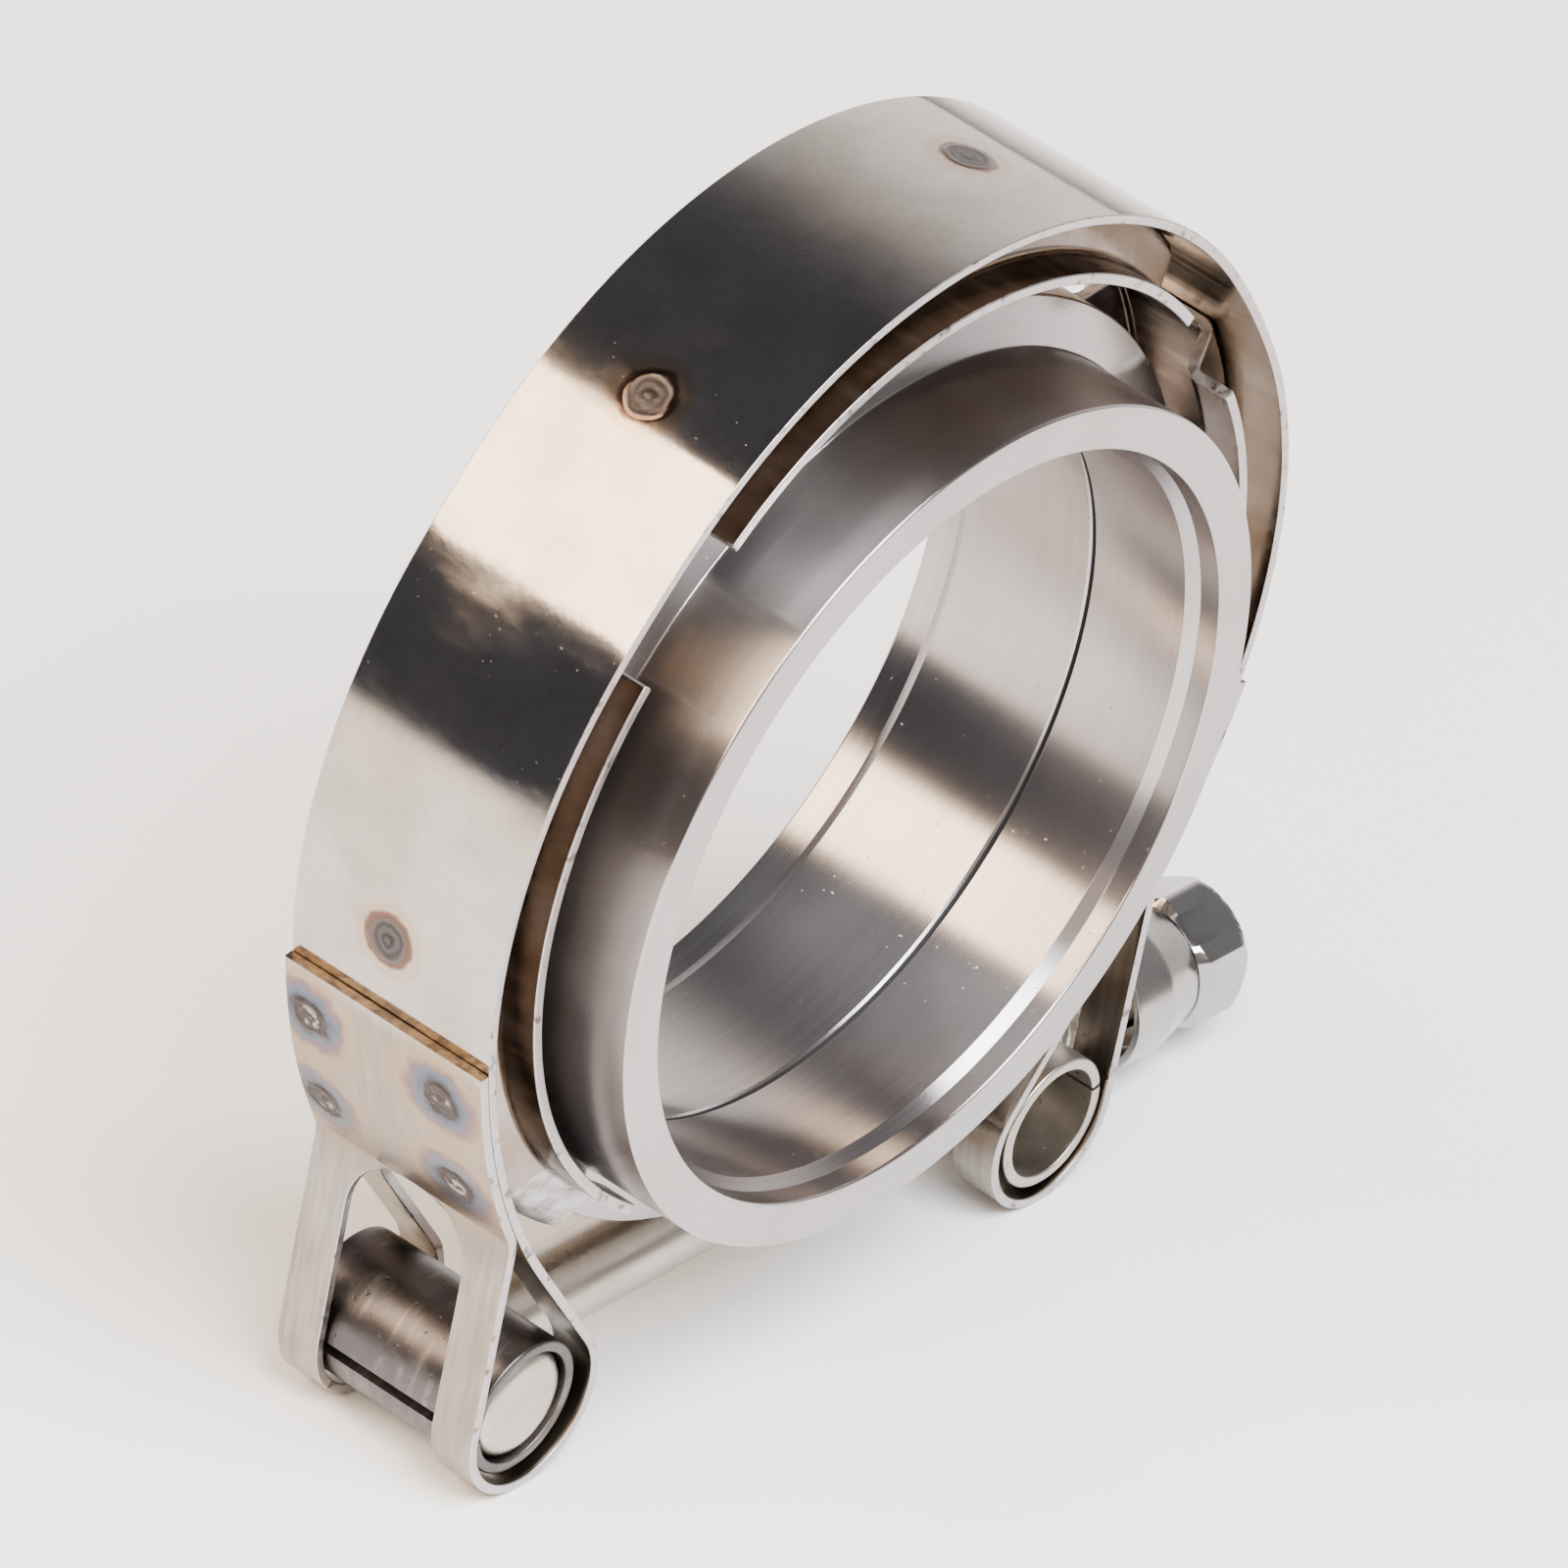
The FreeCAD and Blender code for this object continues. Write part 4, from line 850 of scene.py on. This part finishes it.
def pitted_sheet(name, colour, pale):
    """Rolled sheet with short scores round it, small pits and worn paler patches."""
    material, tree, shader, where = bare_metal(name, colour, 0.4)
    scores = noise(tree, where, 1500, 4.0, (0.15, 1, 0.15))
    patches = noise(tree, where, 190, 5.0)
    pit = mask(tree, noise(tree, where, 1300, 2.0), 0.66, 0.74, 0, 1)
    worn = maths(tree, "MULTIPLY", mask(tree, scores, 0.45, 0.68, 0.25, 1),
                 mask(tree, patches, 0.42, 0.62, 0, 0.9))
    tone = blended(tree, worn, colour, pale)
    tone = blended(tree, mask(tree, pit, 0, 1, 0, 0.7), tone, (0.05, 0.045, 0.042))
    bump = bumped(tree, pit, 0.5, -0.06, bumped(tree, scores, 0.3, 0.03))
    set_finish(tree, shader, tone, mask(tree, patches, 0.3, 0.7, 0.30, 0.42), bump)
    return material


sleeve_finish = pitted_sheet("dark_rolled_sleeve", SLEEVE_COLOUR, (0.20, 0.185, 0.18))
tube_finish = pitted_sheet("rolled_tube_sheet", TUBE_COLOUR, (0.46, 0.44, 0.42))
verts, faces = rolled_tube(HEAD_PLACE, SLEEVE_WALL, SLEEVE_HALF, SLEEVE_SLIT, SLEEVE_SLIT_ANGLE)
sleeve = make_piece("split_sleeve", verts, faces, "clamp", "t_head_sleeve", [sleeve_finish],
                    sharp=35)
drill(sleeve, HEAD_PLACE, HEAD_PLACE + DRILL_REACH)
verts, faces = rolled_tube(TUBE_PLACE, TUBE_WALL, TUBE_HALF, TUBE_SLIT, TUBE_SLIT_ANGLE)
tube = make_piece("split_tube", verts, faces, "clamp", "trunnion_tube", [tube_finish], sharp=35)
drill(tube, TUBE_PLACE - DRILL_REACH, TUBE_PLACE + DRILL_REACH)

# A cup turned from steel slides on the bolt and bears on the right loop's tube. Its open skirt faces the
# tube and its collar is the nut's seat.
THRUST_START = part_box("thrust_sleeve")[0].x / MM
THRUST_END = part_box("thrust_sleeve")[1].x / MM
SKIRT_RADIUS, SKIRT_WALL, SKIRT_LENGTH, CUP_DEPTH, COLLAR_RADIUS = 7.4, 0.9, 5.2, 4.6, 6.3
SHOULDER_ROUND, SKIRT_EDGE, CUP_EDGE, CUP_FILLET = 3.0, 0.25, 0.15, 0.5
THRUST_COLOUR, THRUST_STEPS = (0.42, 0.40, 0.385), 96


def turned_about_bolt(outline):
    """Rings of an outline of (along, radius) points turned about the bolt's axis."""
    spokes = [cmath.rect(1, 2 * math.pi * step / THRUST_STEPS) for step in range(THRUST_STEPS)]
    return [[(along, PARTING + radius * spoke.real, -LOOP_DROP + radius * spoke.imag)
             for along, radius in outline] for spoke in spokes]


def spun_steel(name, colour, roughness):
    """Steel turned about the bolt's axis: fine rings across the bolt, with soft wear."""
    material, tree, shader, where = bare_metal(name, colour, roughness)
    rings = noise(tree, lathe_lines(tree, where, "Y", "Z", "X"), 3200, 3.0)
    patches = noise(tree, where, 260, 4.0)
    worn = tuple(part * 0.72 for part in colour)
    tone = blended(tree, mask(tree, patches, 0.4, 0.7, 0, 0.5), colour, worn)
    tone = blended(tree, mask(tree, rings, 0.35, 0.7, 0, 0.3), tone, worn)
    worn_roughness = mask(tree, patches, 0.3, 0.7, roughness * 0.85, roughness * 1.2)
    tree.links.new(tone, shader.inputs["Base Color"])
    tree.links.new(worn_roughness, shader.inputs["Roughness"])
    return material


thrust_outline = rounded_loop([
    (THRUST_START, SKIRT_RADIUS - SKIRT_WALL, CUP_EDGE), (THRUST_START, SKIRT_RADIUS, SKIRT_EDGE),
    (THRUST_START + SKIRT_LENGTH, SKIRT_RADIUS, SHOULDER_ROUND), (THRUST_END, COLLAR_RADIUS, FLANGE_EDGE),
    (THRUST_END, BOLT_HOLE, CUP_EDGE), (THRUST_START + CUP_DEPTH, BOLT_HOLE, CUP_EDGE),
    (THRUST_START + CUP_DEPTH, SKIRT_RADIUS - SKIRT_WALL, CUP_FILLET)], steps=6)
verts, faces = skin(turned_about_bolt(thrust_outline), closed=True)
make_piece("turned_thrust_sleeve", verts, faces, "thrust_sleeve", "thrust_sleeve",
           [spun_steel("turned_cup_steel", THRUST_COLOUR, 0.24)])

# The lock nut is a bright steel hexagon, sloped at its seat and rounded at its outer end. It runs on the
# bolt's thread and pushes the cup along.
NUT_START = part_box("lock_nut")[0].x / MM
NUT_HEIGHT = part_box("lock_nut")[1].x / MM - NUT_START
NUT_FLATS, NUT_SEAT_RADIUS, NUT_SEAT_SLOPE, NUT_ROUND, NUT_BORE = 13.0, 6.4, 0.7, 2.6, 4.05
NUT_CORNER = NUT_FLATS / math.sqrt(3)
NUT_CORNER_WEAR, NUT_BORE_EDGE, NUT_SEAT_EDGE, NUT_MOUTH = 0.12, 0.3, 0.1, 0.5
NUT_COLOUR = (0.44, 0.425, 0.42)
NUT_STEPS = 180


def hexagon_reach(angle):
    """The distance from the nut's axis to its flats in a direction, with the corners a little worn."""
    folded = (angle + 30) % 60 - 30
    return min(NUT_FLATS / 2 / math.cos(math.radians(folded)), NUT_CORNER - NUT_CORNER_WEAR)


nut_blank = rounded_loop([
    (0.0, NUT_BORE, NUT_BORE_EDGE), (0.0, NUT_SEAT_RADIUS, NUT_SEAT_EDGE), (NUT_SEAT_SLOPE, NUT_CORNER, 0),
    (NUT_HEIGHT, NUT_CORNER, NUT_ROUND), (NUT_HEIGHT, NUT_BORE, NUT_MOUTH)], steps=12)
nut_rings = []
for step in range(NUT_STEPS):
    angle = 360 * step / NUT_STEPS
    spoke, reach = unit(angle), hexagon_reach(angle)
    kept = [(along, min(radius, reach)) for along, radius in nut_blank]
    nut_rings.append([(NUT_START + along, PARTING + radius * spoke.real, -LOOP_DROP + radius * spoke.imag)
                      for along, radius in kept])
verts, faces = skin(nut_rings, closed=True)
make_piece("bright_lock_nut", verts, faces, "lock_nut", "lock_nut",
           [spun_steel("bright_nut_steel", NUT_COLOUR, 0.13)], sharp=24)

# The set: a plain pale floor under the two loops, soft light from a lit tent and two soft boxes, and a
# camera far off with a long lens.
FLOOR_COLOUR, FLOOR_SIZE = (0.93, 0.93, 0.94), 6.0
TENT_COLOUR, FRONT_GLOW, SIDE_GLOW = (0.108, 0.108, 0.126), (0.45, 0.44, 0.44), (2.1, 2.0, 1.94)
CAMERA_AZIMUTH, CAMERA_ELEVATION, CAMERA_ROLL = -55.91, 33.12, -11.68
CAMERA_PLACE = (-1048.2, -691.5, 820.5)
LENS_PIXELS, FRAME_PIXELS, SENSOR_WIDTH = 17068.0, 1600, 36.0

bpy.ops.mesh.primitive_plane_add(size=FLOOR_SIZE, location=(0, 0, cad_box[0][2]))
floor = bpy.context.object
floor.name = "floor"
floor_paint, _, shader, _ = bare_metal("pale_floor", FLOOR_COLOUR, 0.7)
shader.inputs["Metallic"].default_value = 0.0
floor.data.materials.append(floor_paint)

world = bpy.data.worlds.new("light_tent")
bpy.context.scene.world = world
world.use_nodes = True
tree = world.node_tree
background = tree.nodes["Background"]
direction = shader_node(tree, "TexCoord").outputs["Generated"]


def facing(azimuth, elevation):
    """A direction given as for the camera: azimuth 0 is the front, 90 is the bolt's nut side."""
    turn, lift = math.radians(azimuth), math.radians(elevation)
    return Vector((math.sin(turn) * math.cos(lift), -math.cos(turn) * math.cos(lift), math.sin(lift)))


def lit_patch(azimuth, elevation, outer, inner, fall):
    """A patch of the tent's wall: none past the outer angle, full within the inner one, by a fall between."""
    toward = shader_node(tree, "VectorMath", {0: direction, 1: facing(azimuth, elevation)},
                         operation="DOT_PRODUCT").outputs["Value"]
    share = mask(tree, toward, math.cos(math.radians(outer)), math.cos(math.radians(inner)))
    return maths(tree, "POWER", share, fall)


tent = blended(tree, lit_patch(-10, 15, 85, 30, 1.0), TENT_COLOUR, FRONT_GLOW)
tent = blended(tree, lit_patch(112, -4, 80, 0, 2.4), tent, SIDE_GLOW)
tree.links.new(tent, background.inputs["Color"])


def softbox(name, azimuth, elevation, distance, width, height, power, colour):
    """A soft rectangular light that faces the object from a direction given as for the camera."""
    light = bpy.data.lights.new(name, "AREA")
    light.shape = "RECTANGLE"
    light.size, light.size_y = width, height
    light.energy = power
    light.color = colour
    lamp = bpy.data.objects.new(name, light)
    bpy.context.scene.collection.objects.link(lamp)
    back = facing(azimuth, elevation)
    lamp.location = back * distance
    lamp.rotation_mode = "QUATERNION"
    lamp.rotation_quaternion = (-back).to_track_quat("-Z", "Y")


softbox("left_softbox", azimuth=-108, elevation=41, distance=1.4, width=2.2, height=0.62, power=52,
        colour=(1.0, 0.77, 0.55))
softbox("front_softbox", azimuth=-20, elevation=58, distance=1.0, width=0.8, height=0.6, power=38,
        colour=(0.94, 0.965, 1.0))

camera = bpy.data.objects.new("photo_camera", bpy.data.cameras.new("photo_camera"))
bpy.context.scene.collection.objects.link(camera)
bpy.context.scene.camera = camera
camera.data.sensor_width = SENSOR_WIDTH
camera.data.lens = LENS_PIXELS * SENSOR_WIDTH / FRAME_PIXELS
camera.data.clip_start, camera.data.clip_end = 0.1, 20
roll = math.radians(CAMERA_ROLL)
back = facing(CAMERA_AZIMUTH, CAMERA_ELEVATION)
level = (-back).cross(Vector((0, 0, 1))).normalized()
upward = level.cross(-back)
camera_right = level * math.cos(roll) - upward * math.sin(roll)
camera_up = level * math.sin(roll) + upward * math.cos(roll)
camera.matrix_world = Matrix.Translation(Vector(CAMERA_PLACE) * MM) @ Matrix(
    (camera_right, camera_up, back)).transposed().to_4x4()
